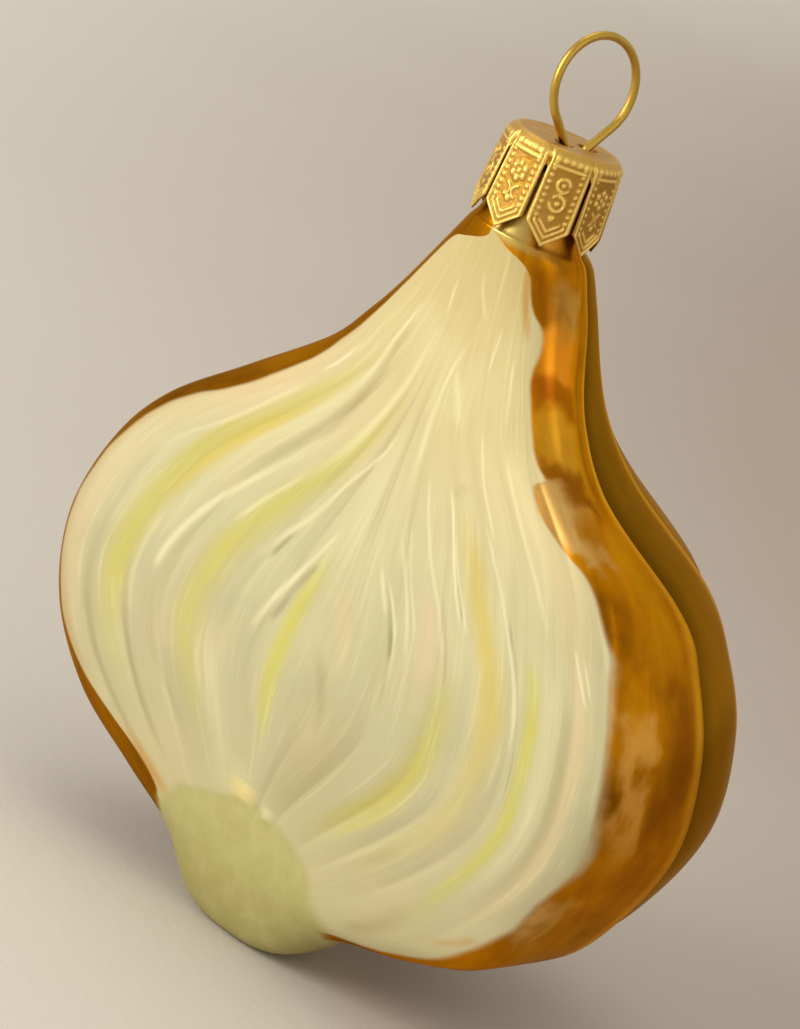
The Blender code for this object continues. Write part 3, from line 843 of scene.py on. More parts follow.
    def layer_position(self, layer: np.ndarray, height: np.ndarray) -> np.ndarray:
        """Share of the half width where a layer lies: layers gather towards neck and root.

        Args:
            layer: Layer share at the belly.
            height: Height of each place.

        Returns:
            The share across at that height.
        """
        pinch = np.where(height > self.belly_height, self.pinch_above, self.pinch_below)
        power = np.minimum(self.pinch_most, 1.0 + ((height - self.belly_height) / pinch) ** 2)
        gathered = np.abs(layer) ** power * (1.0 - self.even_share) + np.abs(layer) * self.even_share
        return np.copysign(gathered, layer)

    def layer_swell(self, layer: np.ndarray) -> np.ndarray:
        """How far each layer swells between its two hollows.

        Args:
            layer: Layer share of each place.

        Returns:
            A share from 0 in a hollow to 1 in the middle of a layer.
        """
        edges = np.array((-1.0, *self.hollows, 1.0))
        index = np.clip(np.searchsorted(edges, layer, side="right") - 1, 0, len(edges) - 2)
        width = edges[index + 1] - edges[index]
        share = (layer - edges[index]) / width
        return np.sin(math.pi * share) ** 0.75 * np.minimum(1.0, width / 0.16)

    def face_points(self, rows: np.ndarray, layer: np.ndarray) -> np.ndarray:
        """Points of the cut face.

        Args:
            rows: The outline's numbers for each row.
            layer: Layer share of each column.

        Returns:
            A point for each row and column.
        """
        height, left, right = (rows[:, index, None] for index in range(3))
        depth, roundness, _ = self.section_shape(height, 0.5 * (left + right))
        across = self.layer_position(layer[None, :], height)
        bulge = np.maximum(0.0, 1.0 - np.abs(across) ** roundness) ** (1.0 / roundness)
        shown = smooth_step(*self.layers_start, height) * (1.0 - smooth_step(*self.layers_fade, height))
        relief = self.hollow_depth * self.layer_swell(layer)[None, :] * shown
        for line in (*PAINT_LINES, *ROOT_BEADS):
            if line.raised:
                relief = relief + self.line_relief * line.raised * line.rise(layer[None, :], height)
        x = across * np.where(across > 0.0, right, left)
        return np.stack((x, -(depth + np.minimum(relief, self.relief_most)) * bulge, height + 0.0 * x), axis=-1)

    def lobe_angles(self) -> tuple[np.ndarray, np.ndarray, np.ndarray]:
        """Columns of the skin on the right half, from the face's edge to the middle of the back.

        Returns:
            Angle of each column, its share of the lobe's height, and how near a rim it is.
        """
        first = self.lobe_crests[0]
        share, drop, rise = (np.arange(1, count + 1) / count for count in self.lobe_columns)
        angles, heights = [first * share], [1.0 - self.first_lobe_hollow * np.sin(math.pi * share)]
        rims = [smooth_step(0.8, 1.0, share)]
        for before, crest in zip(self.lobe_crests, (*self.lobe_crests[1:], 90.0)):
            angles.append(before + self.lobe_drop * drop)
            heights.append(1.0 - smooth_step(0.0, 1.0, drop))
            rims.append(np.maximum(0.0, 1.0 - 2.0 * drop))
            angles.append(before + self.lobe_drop + (crest - before - self.lobe_drop) * rise)
            heights.append(np.sin(0.5 * math.pi * rise))
            rims.append(smooth_step(0.8, 1.0, rise) * (crest < 90.0))
        return np.concatenate(angles), np.concatenate(heights), np.concatenate(rims)

    def skin_angle(self, angle: np.ndarray, height: np.ndarray) -> np.ndarray:
        """Angle of a skin column at each height, the first crest drawn in along the shoulder.

        Args:
            angle: Angle of each column at the belly, from 0 to 180.
            height: Height of each row.

        Returns:
            The angle at that height.
        """
        shoulder = smooth_step(*self.shoulder_crest, height)
        neck = smooth_step(*self.neck_crest, height)
        drawn = (1.0 + (self.shoulder_crest_share - 1.0) * shoulder
                 + (self.neck_crest_share - self.shoulder_crest_share) * neck)
        mirrored = np.minimum(angle, 180.0 - angle)
        first = self.lobe_crests[0]
        moved = np.where(mirrored <= first, mirrored * drawn,
                         90.0 - (90.0 - mirrored) * (90.0 - first * drawn) / (90.0 - first))
        return np.where(angle <= 90.0, moved, 180.0 - moved)

    def skin_points(self, rows: np.ndarray, angle: np.ndarray, share: np.ndarray) -> np.ndarray:
        """Points of the skin behind the cut face.

        Args:
            rows: The outline's numbers for each row.
            angle: Angle of each column.
            share: Share of the lobe's height at each column.

        Returns:
            A point for each row and column.
        """
        height, left, right, depth = (rows[:, index, None] for index in range(4))
        _, _, roundness = self.section_shape(height, 0.5 * (left + right))
        turn = np.radians(self.skin_angle(angle[None, :], height))
        cosine, sine = np.cos(turn), np.sin(turn)
        x = np.copysign(np.where(cosine > 0.0, right, left) * np.abs(cosine) ** (2.0 / roundness), cosine)
        y = depth * np.abs(sine) ** (2.0 / roundness)
        drop = self.lobe_depth + (self.lobe_neck_depth - self.lobe_depth) * smooth_step(*self.lobe_thins, height)
        drop = drop * smooth_step(*self.lobes_start, height) * (1.0 - smooth_step(*self.lobes_end, height))
        shrink = 1.0 - drop * (1.0 - share) / np.hypot(x, y)
        return np.stack((x * shrink, y * shrink, height + 0.0 * x), axis=-1)

    def build(self, material: bpy.types.Material) -> bpy.types.Object:
        """Make the glass.

        Args:
            material: Its lacquer.

        Returns:
            The piece.
        """
        rows = smooth_curve(np.array(self.outline), self.row_steps)
        rows[:, 1:] *= self.clearance
        layer = np.linspace(-1.0, 1.0, self.face_columns)
        angle, share, rim = self.lobe_angles()
        angle = np.concatenate((angle, 180.0 - angle[-2::-1]))
        share, rim = (np.concatenate((half, half[-2::-1])) for half in (share, rim))
        ring = np.concatenate((self.face_points(rows, layer), self.skin_points(rows, angle, share)), axis=1)
        count = ring.shape[1]
        past_edge = 1.0 + np.minimum(angle, 180.0 - angle) / 90.0
        reach = np.concatenate((layer, np.where(angle <= 90.0, past_edge, -past_edge)))
        columns = {
            Mark.LAYER: reach,
            Mark.WRAP: np.abs(reach),
            Mark.LOBE: np.concatenate((np.ones_like(layer), share)),
            Mark.RIM: np.concatenate((np.zeros_like(layer), rim)),
        }
        grid = np.concatenate((self.lip_rows(ring[0]), ring, self.tip_rows(ring[-1])))
        marks = {mark: np.tile(numbers, (len(grid), 1)) for mark, numbers in columns.items()}
        height = grid[:, :, 2].copy()
        marks[Mark.HEIGHT] = height
        marks[Mark.ACROSS] = self.layer_position(reach[None, :], height)
        for wash in (*WASHES, VEIL):
            marks[wash.mark] = wash.laid(reach[None, :], height)
        points = np.concatenate((grid.reshape(-1, 3), grid[-1].mean(axis=0)[None]))
        last_ring = (len(grid) - 1) * count + np.arange(count)
        quads = np.concatenate((grid_quads(len(grid), count, True), fan_faces(last_ring, len(points) - 1, False)))
        flat = {mark: np.append(numbers.ravel(), numbers[-1].mean()) for mark, numbers in marks.items()}
        piece = mesh_piece("blown_glass", points, quads, flat, material, Slot.GLASS)
        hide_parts("glass_body")
        return piece

    def lip_rows(self, mouth: np.ndarray) -> np.ndarray:
        """Rows inside the neck, so that the mouth shows the glass's own thickness.

        Args:
            mouth: The ring of points at the mouth.

        Returns:
            Rows from deep inside the neck up to the mouth.
        """
        flat = mouth[:, :2]
        inward = 1.0 - self.lip / np.hypot(flat[:, 0], flat[:, 1])[:, None]
        inner = np.concatenate((flat * inward, mouth[:, 2:]), axis=1)
        deep = inner - np.array((0.0, 0.0, self.neck_inside))
        return np.stack((deep, inner))

    def tip_rows(self, last: np.ndarray) -> np.ndarray:
        """Rows that close the flat tip of the root with a shallow hollow.

        Args:
            last: The ring of points at the tip's edge.

        Returns:
            Rows from that edge inwards.
        """
        share = np.array(self.tip_rings)[:, None, None]
        rows = last * share
        rows[:, :, 2:] = self.tip_hollow * (1.0 - share)
        return rows


@dataclass(frozen=True)
class OnionLacquer:
    """The paint of the glass: pearl on the cut face, amber on the skin, matte green on the root.

    Attributes:
        height: Height of the glass, which scales everything painted on it.
        face_tones: Tone of the face at each height.
        right_edge: Height and layer share of the face's painted edge on its right.
        left_edge: The same on its left.
        root_edge: Layer share and height of the upper edge of the painted root.
        amber_tones: Tones of the skin from its dark mottling to its bright.
        cloud_touches: Touches on the face that follow a soft cloud.
        broad_touches: Touches that follow the broad streaks; as the streaks also raise the bump, the paler touch on
            raised streaks and the darker one on sunk streaks are partly painted highlight and painted shade.
        fine_touches: Touches that follow the fine streaks, in the same way.
        root_tone: Tone of the root plate.
        root_low: How the root changes towards its tip.
        root_grain: The pale grain of its paint.
        back_shade: Painted shade that dulls the skin behind the first lobe's crest, out of the light.
        lobe_shade: The dark between two lobes.
        left_shade: Shade that lies over the left skin and fades round to the back.
        crest_highlight: Tone of the painted highlight along a lobe's crest.
        bare: Tone of the bare neck above the paint.
        bare_from: Heights between which the paint ends there.
        stray: How far the skin's patches stray up and across, as shares.
        left_reach: Places, laid between 0 and 1, between which the left shade comes in.
        left_wrap: How far round the skin it has faded out, and where it is full.
        left_edge_wrap: Where it darkens most, just behind the face's edge.
        neck_high: Shares of the height between which the streaks turn to follow the face's width.
        calm_high: Shares of the height between which the streaks grow to their full strength.
        broad_streaks: How many broad streaks there are across the face and on the way down.
        fine_streaks: The same for the fine streaks.
        edge_band: Band in which the skin's paint thins out over the face's.
        root_band: The same for the root's paint.
        metal: How metallic the face and the skin look.
        roughness: Roughness of the face, the skin and the root.
        coat: Strength of the clear coat on the face and the skin.
        coat_roughness: Its roughness.
        relief: Depth of the brush marks.
        tint: Tone of the gloss.
    """

    height: float
    face_tones: Tones = (
        (10, tone(198, 189, 144)), (20, tone(193, 186, 147)), (30, tone(195, 190, 150)),
        (40, tone(204, 199, 156)), (50, tone(211, 200, 154)), (62, tone(214, 199, 147)),
        (70, tone(209, 192, 135)), (76, tone(205, 187, 127)))
    right_edge: Pairs = (
        (5, .93), (7, .93), (8, .95), (10, .957), (13, .955), (16, .965), (18, .975), (20, .972), (22, .977),
        (24, .988), (27, .996), (30, .992), (36, .987), (42, .985), (45, .985), (46.5, .975), (48, .965), (50, .95),
        (51, .94), (52, .90), (53, .875), (54, .857), (55.5, .862), (56.2, .88), (56.7, .925), (57.5, .91),
        (60, .905), (62, .91), (65, .925), (66, .94), (67, .95), (69, .945), (70, .915), (71, .90), (73, .88),
        (73.8, .84), (74.3, .72), (74.8, .56), (75.1, .40), (75.5, 0))
    left_edge: Pairs = (
        (8.3, .84), (9.3, .80), (10.3, .79), (11, .80), (12, .84), (13, .88), (14, .915), (16, .945), (20, .958),
        (28, .968), (33, .968), (38, .955), (42, .94), (45, .925), (47, .90), (50, .885), (52, .885), (56, .895),
        (58, .92), (61, .915), (63, .92), (66, .925), (70, .915), (72.5, .88), (73.4, .76), (74.0, .56), (74.5, .30),
        (74.9, 0))
    root_edge: Pairs = (
        (-2, 6.2), (-1, 6.5), (-.83, 8.5), (-.72, 9.7), (-.6, 11), (-.5, 11.8), (-.4, 12.6), (-.3, 13.2), (-.2, 13.8),
        (0, 14.1), (.1, 14), (.2, 13.85), (.3, 13.45), (.45, 12.65), (.55, 11.65), (.61, 10.8), (.7, 9.4), (.8, 8.3),
        (.9, 7.1), (.95, 6.4), (1, 5.8), (2, 5.8))
    cloud_touches: tuple[Touch, ...] = (Touch(.50, .72, .30, PEACH), Touch(.48, .30, .30, BUD))
    broad_touches: tuple[Touch, ...] = (Touch(.52, .76, .36, PALE), Touch(.48, .26, .26, PAINTED_SHADE))
    fine_touches: tuple[Touch, ...] = (Touch(.55, .78, .20, HIGHLIGHT_WHITE), Touch(.45, .24, .14, PAINTED_SHADE))
    root_tone: Colour = tone(180, 173, 112)
    root_low: Touch = Touch(.15, .02, 1.0, tone(166, 157, 98))
    root_grain: Touch = Touch(.35, .75, .14, PALE)
    amber_tones: Tones = (
        (0.32, tone(130, 79, 2)), (0.45, tone(182, 114, 2)), (0.57, tone(212, 139, 4)), (0.74, tone(240, 174, 20)))
    back_shade: Touch = Touch(1.20, 1.27, .80, tone(126, 92, 24))
    lobe_shade: Touch = Touch(.60, 0.0, .85, tone(90, 60, 2))
    left_shade: Colour = tone(90, 60, 2)
    crest_highlight: Colour = tone(250, 190, 70)
    bare: Colour = tone(206, 180, 100)
    bare_from: Band = (74.5, 75.3)
    stray: Band = (0.10, 0.03)
    left_reach: Band = (0.45, 0.30)
    left_wrap: Band = (1.97, 1.40)
    left_edge_wrap: Band = (0.955, 1.01)
    neck_high: Band = (0.56, 0.72)
    calm_high: Band = (0.10, 0.36)
    broad_streaks: Band = (34.0, 6.0)
    fine_streaks: Band = (120.0, 12.0)
    edge_band: Band = (-0.004, 0.006)
    root_band: Band = (0.020, -0.024)
    metal: Band = (0.10, 0.96)
    roughness: Triple = (0.38, 0.32, 0.60)
    coat: Band = (0.16, 0.02)
    coat_roughness: float = 0.14
    relief: float = 0.09
    tint: Colour = tone(255, 214, 140)

    def edge(self, at: GlassPlace, points: Pairs) -> Value:
        """Half the layer share of a painted edge at the place's height."""
        return at.bench.curve(at.high, [(height / self.height, 0.5 * share) for height, share in points])

    def streaks(self, at: GlassPlace, fine: float, along: float) -> Value:
        """Streaks that follow the layers on the belly and the face's width on the neck.

        Args:
            at: The place.
            fine: Streaks across the face.
            along: How often a streak changes on its way down.

        Returns:
            The streaks from 0 to 1, calmer near the root.
        """
        bench, down = at.bench, at.high * along
        on_neck = at.high.step(*self.neck_high)
        belly = bench.noise(bench.vector(at.layer * fine, down, fine), 1.0, 3.0, 0.55)
        neck = bench.noise(bench.vector(bench.mark(Mark.ACROSS) * (0.5 * fine), down, along), 1.0, 3.0, 0.55)
        calm = at.high.step(*self.calm_high) * 0.6 + 0.4
        return (belly * (1.0 - on_neck) + neck * on_neck - 0.5) * calm + 0.5

    def cream(self, at: GlassPlace, broad: Value, fine: Value) -> Value:
        """The cut face's pearl paint with its washes and lines, painted shade and painted highlights among them.

        Args:
            at: The place.
            broad: Broad streaks.
            fine: Fine streaks.

        Returns:
            The colour.
        """
        bench = at.bench
        colour = bench.ramp(at.high, [(height / self.height, paint) for height, paint in self.face_tones])
        cloud = bench.noise(at.where, 75.0, 3.0)
        for touch in self.cloud_touches:
            colour = touch.lay(bench, cloud, colour)
        # Washes of paint, one of painted shade and one of painted highlight among them.
        for wash in WASHES:
            laid = bench.mark(wash.mark) * wash.cover * (0.62 + 0.76 * broad)
            colour = bench.blend(laid, colour, wash.colour)
        # Streak touches: paler on raised streaks and darker on sunk ones, partly painted highlight and painted shade.
        for streaks, touches in ((broad, self.broad_touches), (fine, self.fine_touches)):
            for touch in touches:
                colour = touch.lay(bench, streaks, colour)
        # The fine lines: paint, painted shade in the grooves, a painted shadow and painted highlights along the ridges.
        for line in PAINT_LINES:
            colour = bench.blend(line.mask(at) * (0.30 + 0.55 * broad), colour, line.colour)
        return colour

    def amber(self, at: GlassPlace) -> Value:
        """The skin's amber lacquer, with painted highlights and painted shade.

        Args:
            at: The place.

        Returns:
            The colour.
        """
        bench = at.bench
        streak = bench.noise(bench.vector(at.wrap * 14.0, at.high * 9.0, 0.0), 1.0, 4.0, 0.6)
        cloud = bench.noise(at.where, 85.0, 4.0, 0.6)
        colour = bench.ramp(streak * 0.45 + cloud * 0.55, list(self.amber_tones))
        up, across = self.stray
        strayed = replace(
            at,
            high=at.high + (bench.noise(at.where, 190.0, 3.0) - 0.5) * up,
            reach=at.reach + (bench.noise(at.where, 240.0, 3.0) - 0.5) * across)
        # The skin's patches, among them painted highlights near the neck and along the face's edge.
        for patch in SKIN_PATCHES_AND_HIGHLIGHTS:
            colour = bench.blend(patch.mask(strayed) * (0.65 + 0.5 * cloud), colour, patch.colour)
        # Painted shade on the skin round the back.
        colour = self.back_shade.lay(bench, at.wrap, colour)
        on_left = at.reach.step(*self.left_reach) * at.wrap.step(*self.left_wrap)
        shaded = on_left * (at.wrap.step(*self.left_edge_wrap) * 0.4 + 0.45)
        colour = bench.blend(shaded, colour, self.left_shade)
        colour = self.lobe_shade.lay(bench, bench.mark(Mark.LOBE), colour)
        # Painted highlight along each lobe's crest.
        colour = bench.blend(bench.mark(Mark.RIM) * (0.3 + 0.8 * streak), colour, self.crest_highlight)
        above = at.high.step(*(height / self.height for height in self.bare_from))
        return bench.blend(above * at.reach.step(0.45, 0.52) * at.reach.step(0.76, 0.68), colour, self.bare)

    def root_paint(self, at: GlassPlace) -> Value:
        """The matte paint of the root plate at a place."""
        colour = self.root_low.lay(at.bench, at.high, self.root_tone)
        return self.root_grain.lay(at.bench, at.bench.noise(at.where, 420.0, 4.0, 0.65), colour)

    def make(self) -> bpy.types.Material:
        """Build the material.

        Returns:
            The finished lacquer.
        """
        bench = NodeBench("onion_lacquer")
        layer, height = bench.mark(Mark.LAYER), bench.mark(Mark.HEIGHT)
        at = GlassPlace(bench, self.height, layer, bench.mark(Mark.WRAP), layer * 0.25 + 0.5,
                        height * (1.0 / self.height), bench.place())
        broad, fine = self.streaks(at, *self.broad_streaks), self.streaks(at, *self.fine_streaks)
        soft = bench.noise(bench.vector(layer * 3.0, at.high * 16.0, 0.0), 1.0, 2.0, 0.5) - 0.5

        on_right = layer.step(-0.2, 0.2)
        edge = self.edge(at, self.right_edge) * on_right + self.edge(at, self.left_edge) * (1.0 - on_right)
        skin = (at.wrap * 0.5 - edge + soft * 0.010).step(*self.edge_band)
        tops = [(0.5 + 0.25 * share, top * ROOT_SCALE) for share, top in self.root_edge]
        root = (height * ROOT_SCALE - bench.curve(at.reach, tops) + soft * 0.06).step(*self.root_band)
        veiled = bench.blend(bench.mark(VEIL.mark) * (1.0 - skin), self.cream(at, broad, fine), VEIL.colour)
        colour = bench.blend(skin, veiled, self.amber(at))
        colour = bench.blend(root, colour, self.root_paint(at))
        # The drips at the root, painted pale, partly as a painted highlight.
        for bead in ROOT_BEADS:
            colour = bench.blend(bead.mask(at) * 0.9, colour, bead.colour)

        ridges = sum(line.mask(at) * line.raised for line in PAINT_LINES if line.raised)
        brushed = (ridges * 0.5 + broad * 0.8 + fine * 0.25) * (1.0 - skin)
        rise = (brushed + bench.noise(at.where, 150.0, 3.0) * skin * 0.8) * (1.0 - root * 0.85)
        face_metal, skin_metal = self.metal
        face_rough, skin_rough, root_rough = self.roughness
        face_coat, skin_coat = self.coat
        return bench.surface(
            Base_Color=colour,
            Metallic=(skin * (skin_metal - face_metal) + face_metal) * (1.0 - root),
            Roughness=(root * (root_rough - face_rough) + skin * (skin_rough - face_rough) + face_rough
                       + (broad - 0.5) * 0.10),
            Specular_Tint=self.tint,
            Normal=bench.bump(rise, self.relief),
            Coat_Weight=(skin * (skin_coat - face_coat) + face_coat) * (1.0 - root),
            Coat_Roughness=self.coat_roughness)


@dataclass
class CrownCap:
    """The cap stamped from gilt sheet: a domed top, a band and eight embossed tabs.

    Attributes:
        tabs: Number of tabs.
        sheet: Thickness of the sheet.
        radius: Radius of the band.
        tip_radius: Radius at the tabs' tips.
        top_height: Height of the top.
        top_radius: Radius where the shoulder begins.
        shoulder_drop: How far the shoulder drops.
        slit_top: Height where the slits begin.
        corner_height: Height of the tabs' lower corners.
        tip_height: Height of the tabs' points.
        slit_width: Width of a slit.
        first_slit: Direction of the first slit.
        flatness: How flat a tab is at its tip.
        emboss: Depth of the stamped ground under the raised pattern.
        tab_columns: Points across a tab.
        tab_rows: Rows of points down a tab.
        shoulder_rows: Rows of points over the shoulder.
        top_rows: Rings of points on the top.
        holes: Middle of each hole in the top that a leg of the wire goes through.
        hole_radius: Radius of such a hole.
        hole_depth: How deep the sheet is drawn in there.
        clearance: How far the sheet keeps inside the solid's.
        dimples: Depth of the faint dimples in the top.
        border_line: Distance of the border ridge from a tab's edge.
        bead_line: Distance of the row of beads.
        bead_step: From one bead to the next.
        chevron_lines: Distances of the ridges that follow the tab's point.
        point_from: Distances down between which the beads give way to the chevron.
        petals: Bosses of the flower.
        flower_bosses: Across, down and radius of the other bosses on a flowered tab.
        flower_rings: Across, down, radius and half width of the arcs under the flower.
        scroll_bosses: Bosses on a tab with a scroll.
        scroll_rings: The two rings that the scroll is cut from.
    """

    tabs: int = 8
    sheet: float = 0.25
    radius: float = 6.0
    tip_radius: float = 6.35
    top_height: float = 85.1
    top_radius: float = 4.8
    shoulder_drop: float = 1.2
    slit_top: float = 83.2
    corner_height: float = 77.9
    tip_height: float = 75.8
    slit_width: float = 0.4
    first_slit: float = math.radians(-64.0)
    flatness: float = 0.6
    emboss: float = 0.17
    tab_columns: int = 44
    tab_rows: int = 66
    shoulder_rows: int = 14
    top_rows: int = 40
    holes: Pairs = ((1.366, 1.343), (0.854, -1.714))
    hole_radius: float = 0.95
    hole_depth: float = 1.0
    clearance: float = 0.02
    dimples: float = 0.05
    border_line: float = 0.18
    bead_line: float = 0.66
    bead_step: float = 0.66
    chevron_lines: Band = (0.68, 1.16)
    point_from: Band = (5.9, 5.3)
    petals: Triples = tuple(
        (0.72 * math.sin(petal * math.pi / 3.0), 2.35 + 0.72 * math.cos(petal * math.pi / 3.0), 0.42)
        for petal in range(6))
    flower_bosses: Triples = ((0.0, 2.35, 0.34), (0.0, 5.15, 0.4))
    flower_rings: Quads = ((0.75, 4.3, 0.6, 0.22), (-0.75, 4.3, 0.6, 0.22))
    scroll_bosses: Triples = ((0.0, 1.95, 0.3), (0.0, 3.75, 0.36), (0.0, 5.2, 0.42))
    scroll_rings: Quads = ((0.0, 1.95, 0.62, 0.26), (0.0, 3.75, 0.72, 0.26))

    def relief(self, side: np.ndarray, down: np.ndarray, edge: np.ndarray, flowered: bool) -> np.ndarray:
        """The stamped pattern on one tab.

        Args:
            side: Distance to the right of the tab's middle line.
            down: Distance down from the shoulder.
            edge: Distance in from the tab's nearest edge.
            flowered: Whether the tab carries a flower or else a scroll.

        Returns:
            The rise at each place, from 0 to 1.
        """
        def boss(x: float, y: float, radius: float) -> np.ndarray:
            """A round boss."""
            return smooth_step(radius, radius * 0.3, np.hypot(side - x, down - y))

        def ring(x: float, y: float, radius: float, width: float) -> np.ndarray:
            """A round ridge."""
            return smooth_step(width, 0.0, np.abs(np.hypot(side - x, down - y) - radius))

        straight = smooth_step(*self.point_from, down)
        border = smooth_step(0.22, 0.06, np.abs(edge - self.border_line))
        beads = (smooth_step(0.32, 0.06, np.abs(edge - self.bead_line))
                 * (0.5 + 0.5 * np.cos(2.0 * math.pi * down / self.bead_step)))
        chevron = sum(smooth_step(0.2, 0.04, np.abs(edge - line)) for line in self.chevron_lines)
        top_line = 0.8 * smooth_step(0.24, 0.05, np.abs(down - 0.35)) * (edge > 0.4)
        raised = [border, 0.9 * beads * straight, chevron * (1.0 - straight), top_line]
        if flowered:
            raised += [boss(*place) for place in (*self.petals, *self.flower_bosses)]
            raised += [0.9 * ring(*place) * (np.sign(place[0]) * side < abs(place[0])) for place in self.flower_rings]
        else:
            upper, lower = (ring(*place) for place in self.scroll_rings)
            upper_open = (side > 0.1) & (down > self.scroll_rings[0][1])
            lower_open = (side < -0.1) & (down < self.scroll_rings[1][1])
            joint = smooth_step(0.26, 0.0, np.abs(side * 0.8 + (down - 2.8))) * (np.abs(side) < 0.6)
            raised += [upper * ~upper_open, lower * ~lower_open, joint]
            raised += [boss(*place) for place in self.scroll_bosses]
        return np.maximum.reduce(raised)

    def tab_surface(self, index: int) -> tuple[np.ndarray, np.ndarray]:
        """One eighth of the cap from the top's edge to the tab's point.

        Args:
            index: The tab's number.

        Returns:
            A point for each row and column, and its raised share.
        """
        half = math.pi / self.tabs
        azimuth = self.first_slit + (2 * index + 1) * half
        slit_half = 0.5 * self.slit_width / self.radius
        share = np.linspace(-1.0, 1.0, self.tab_columns)
        turn = np.linspace(0.0, 0.5 * math.pi, self.shoulder_rows)
        radius = self.top_radius + (self.radius - self.top_radius) * np.sin(turn)
        height = self.top_height - self.shoulder_drop * (1.0 - np.cos(turn))
        low = np.linspace(0.0, 1.0, self.tab_rows)[1:]
        radius = np.concatenate((radius, self.radius + (self.tip_radius - self.radius) * low))
        shoulder_foot = self.top_height - self.shoulder_drop
        down_to = self.corner_height - (self.corner_height - self.tip_height) * (1.0 - np.abs(share))
        height = np.concatenate((np.repeat(height[:, None], len(share), axis=1),
                                 shoulder_foot + (down_to[None, :] - shoulder_foot) * low[:, None]))
        low_share = np.concatenate((np.zeros(self.shoulder_rows), low))[:, None]
        flat = self.flatness * low_share
        narrow = slit_half * (0.55 + 0.45 * low_share) * smooth_step(self.slit_top + 0.15, self.slit_top - 0.25, height)
        offset = (half - narrow) * share[None, :]
        radius = radius[:, None]
        level = radius + (radius * math.cos(0.5 * half) / np.cos(offset) - radius) * flat
        side = level * np.sin(offset)
        down = shoulder_foot - height
        slope = (self.corner_height - self.tip_height) / (half * self.radius)
        to_point = (height - (self.tip_height + np.abs(side) * slope)) / math.hypot(1.0, slope)
        edge = np.minimum((half - slit_half) * self.radius - np.abs(side), to_point)
        beaded = (0.5 + 0.5 * np.cos(2.0 * math.pi * side / 0.7)) * smooth_step(0.4, 0.1, np.abs(down + 0.35))
        tab = smooth_step(-0.25, 0.15, down)
        rise = self.relief(side, down, edge, index % 2 == 1) * tab + (0.35 + 0.55 * beaded) * (1.0 - tab)
        crease = 0.35 * smooth_step(0.5, 0.0, half * self.radius - np.abs(side)) * (1.0 - smooth_step(0.0, 1.2, down))
        level = level - self.emboss * (1.0 - rise) * smooth_step(-1.2, -0.9, down) - self.clearance
        level = level - crease * smooth_step(-1.4, -0.4, down)
        where = azimuth + offset
        return np.stack((level * np.cos(where), level * np.sin(where), height), axis=-1), rise

    def top_surface(self) -> tuple[np.ndarray, np.ndarray]:
        """The top, as rings from its edge to its middle.

        Returns:
            A point for each ring and direction, and its raised share.
        """
        count = self.tabs * (self.tab_columns - 1)
        where = self.first_slit + 2.0 * math.pi * np.arange(count) / count
        share = np.linspace(1.0, 0.0, self.top_rows + 1)[:-1]
        radius = (self.top_radius - self.clearance) * share[:, None]
        x, y = radius * np.cos(where), radius * np.sin(where)
        sunk = np.zeros_like(x)
        for across, back in self.holes:
            reach = np.hypot(x - across, y - back)
            sunk = np.maximum(sunk, smooth_step(self.hole_radius * 1.04, self.hole_radius * 0.86, reach))
        uneven = (np.sin(x * 2.3 + 0.7) * np.sin(y * 1.9 - 0.4) - 1.0) * smooth_step(1.0, 0.8, share)[:, None]
        height = self.top_height + self.dimples * uneven - self.hole_depth * sunk
        return np.stack((x, y, height), axis=-1), 0.2 - 1.2 * sunk

    def build(self, material: bpy.types.Material) -> bpy.types.Object:
        """Make the cap.

        Args:
            material: Its gilding.

        Returns:
            The piece.
        """
        points, rises, quads, first = [], [], [], 0
        for index in range(self.tabs):
            surface, rise = self.tab_surface(index)
            points.append(surface.reshape(-1, 3))
            rises.append(rise.ravel())
            quads.append(grid_quads(surface.shape[0], surface.shape[1], False, first))
            first += len(points[-1])
        surface, rise = self.top_surface()
        points += [surface.reshape(-1, 3), np.array([[0.0, 0.0, surface[-1, :, 2].mean()]])]
        rises += [rise.ravel(), np.array([0.2])]
        rows, count = surface.shape[:2]
        inner_ring = first + (rows - 1) * count + np.arange(count)
        quads += [grid_quads(rows, count, True, first)[:, ::-1], fan_faces(inner_ring, first + rows * count, True)]
        cap = mesh_piece("stamped_cap", np.concatenate(points), np.concatenate(quads),
                         {Mark.RAISED: np.concatenate(rises)}, material, Slot.SHEET)
        weld = cap.modifiers.new("weld", "WELD")
        weld.merge_threshold = 0.02 * MM
        sheet = cap.modifiers.new("sheet", "SOLIDIFY")
        sheet.thickness = self.sheet * MM
        sheet.offset = -1.0
        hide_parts("crown_cap")
        return cap


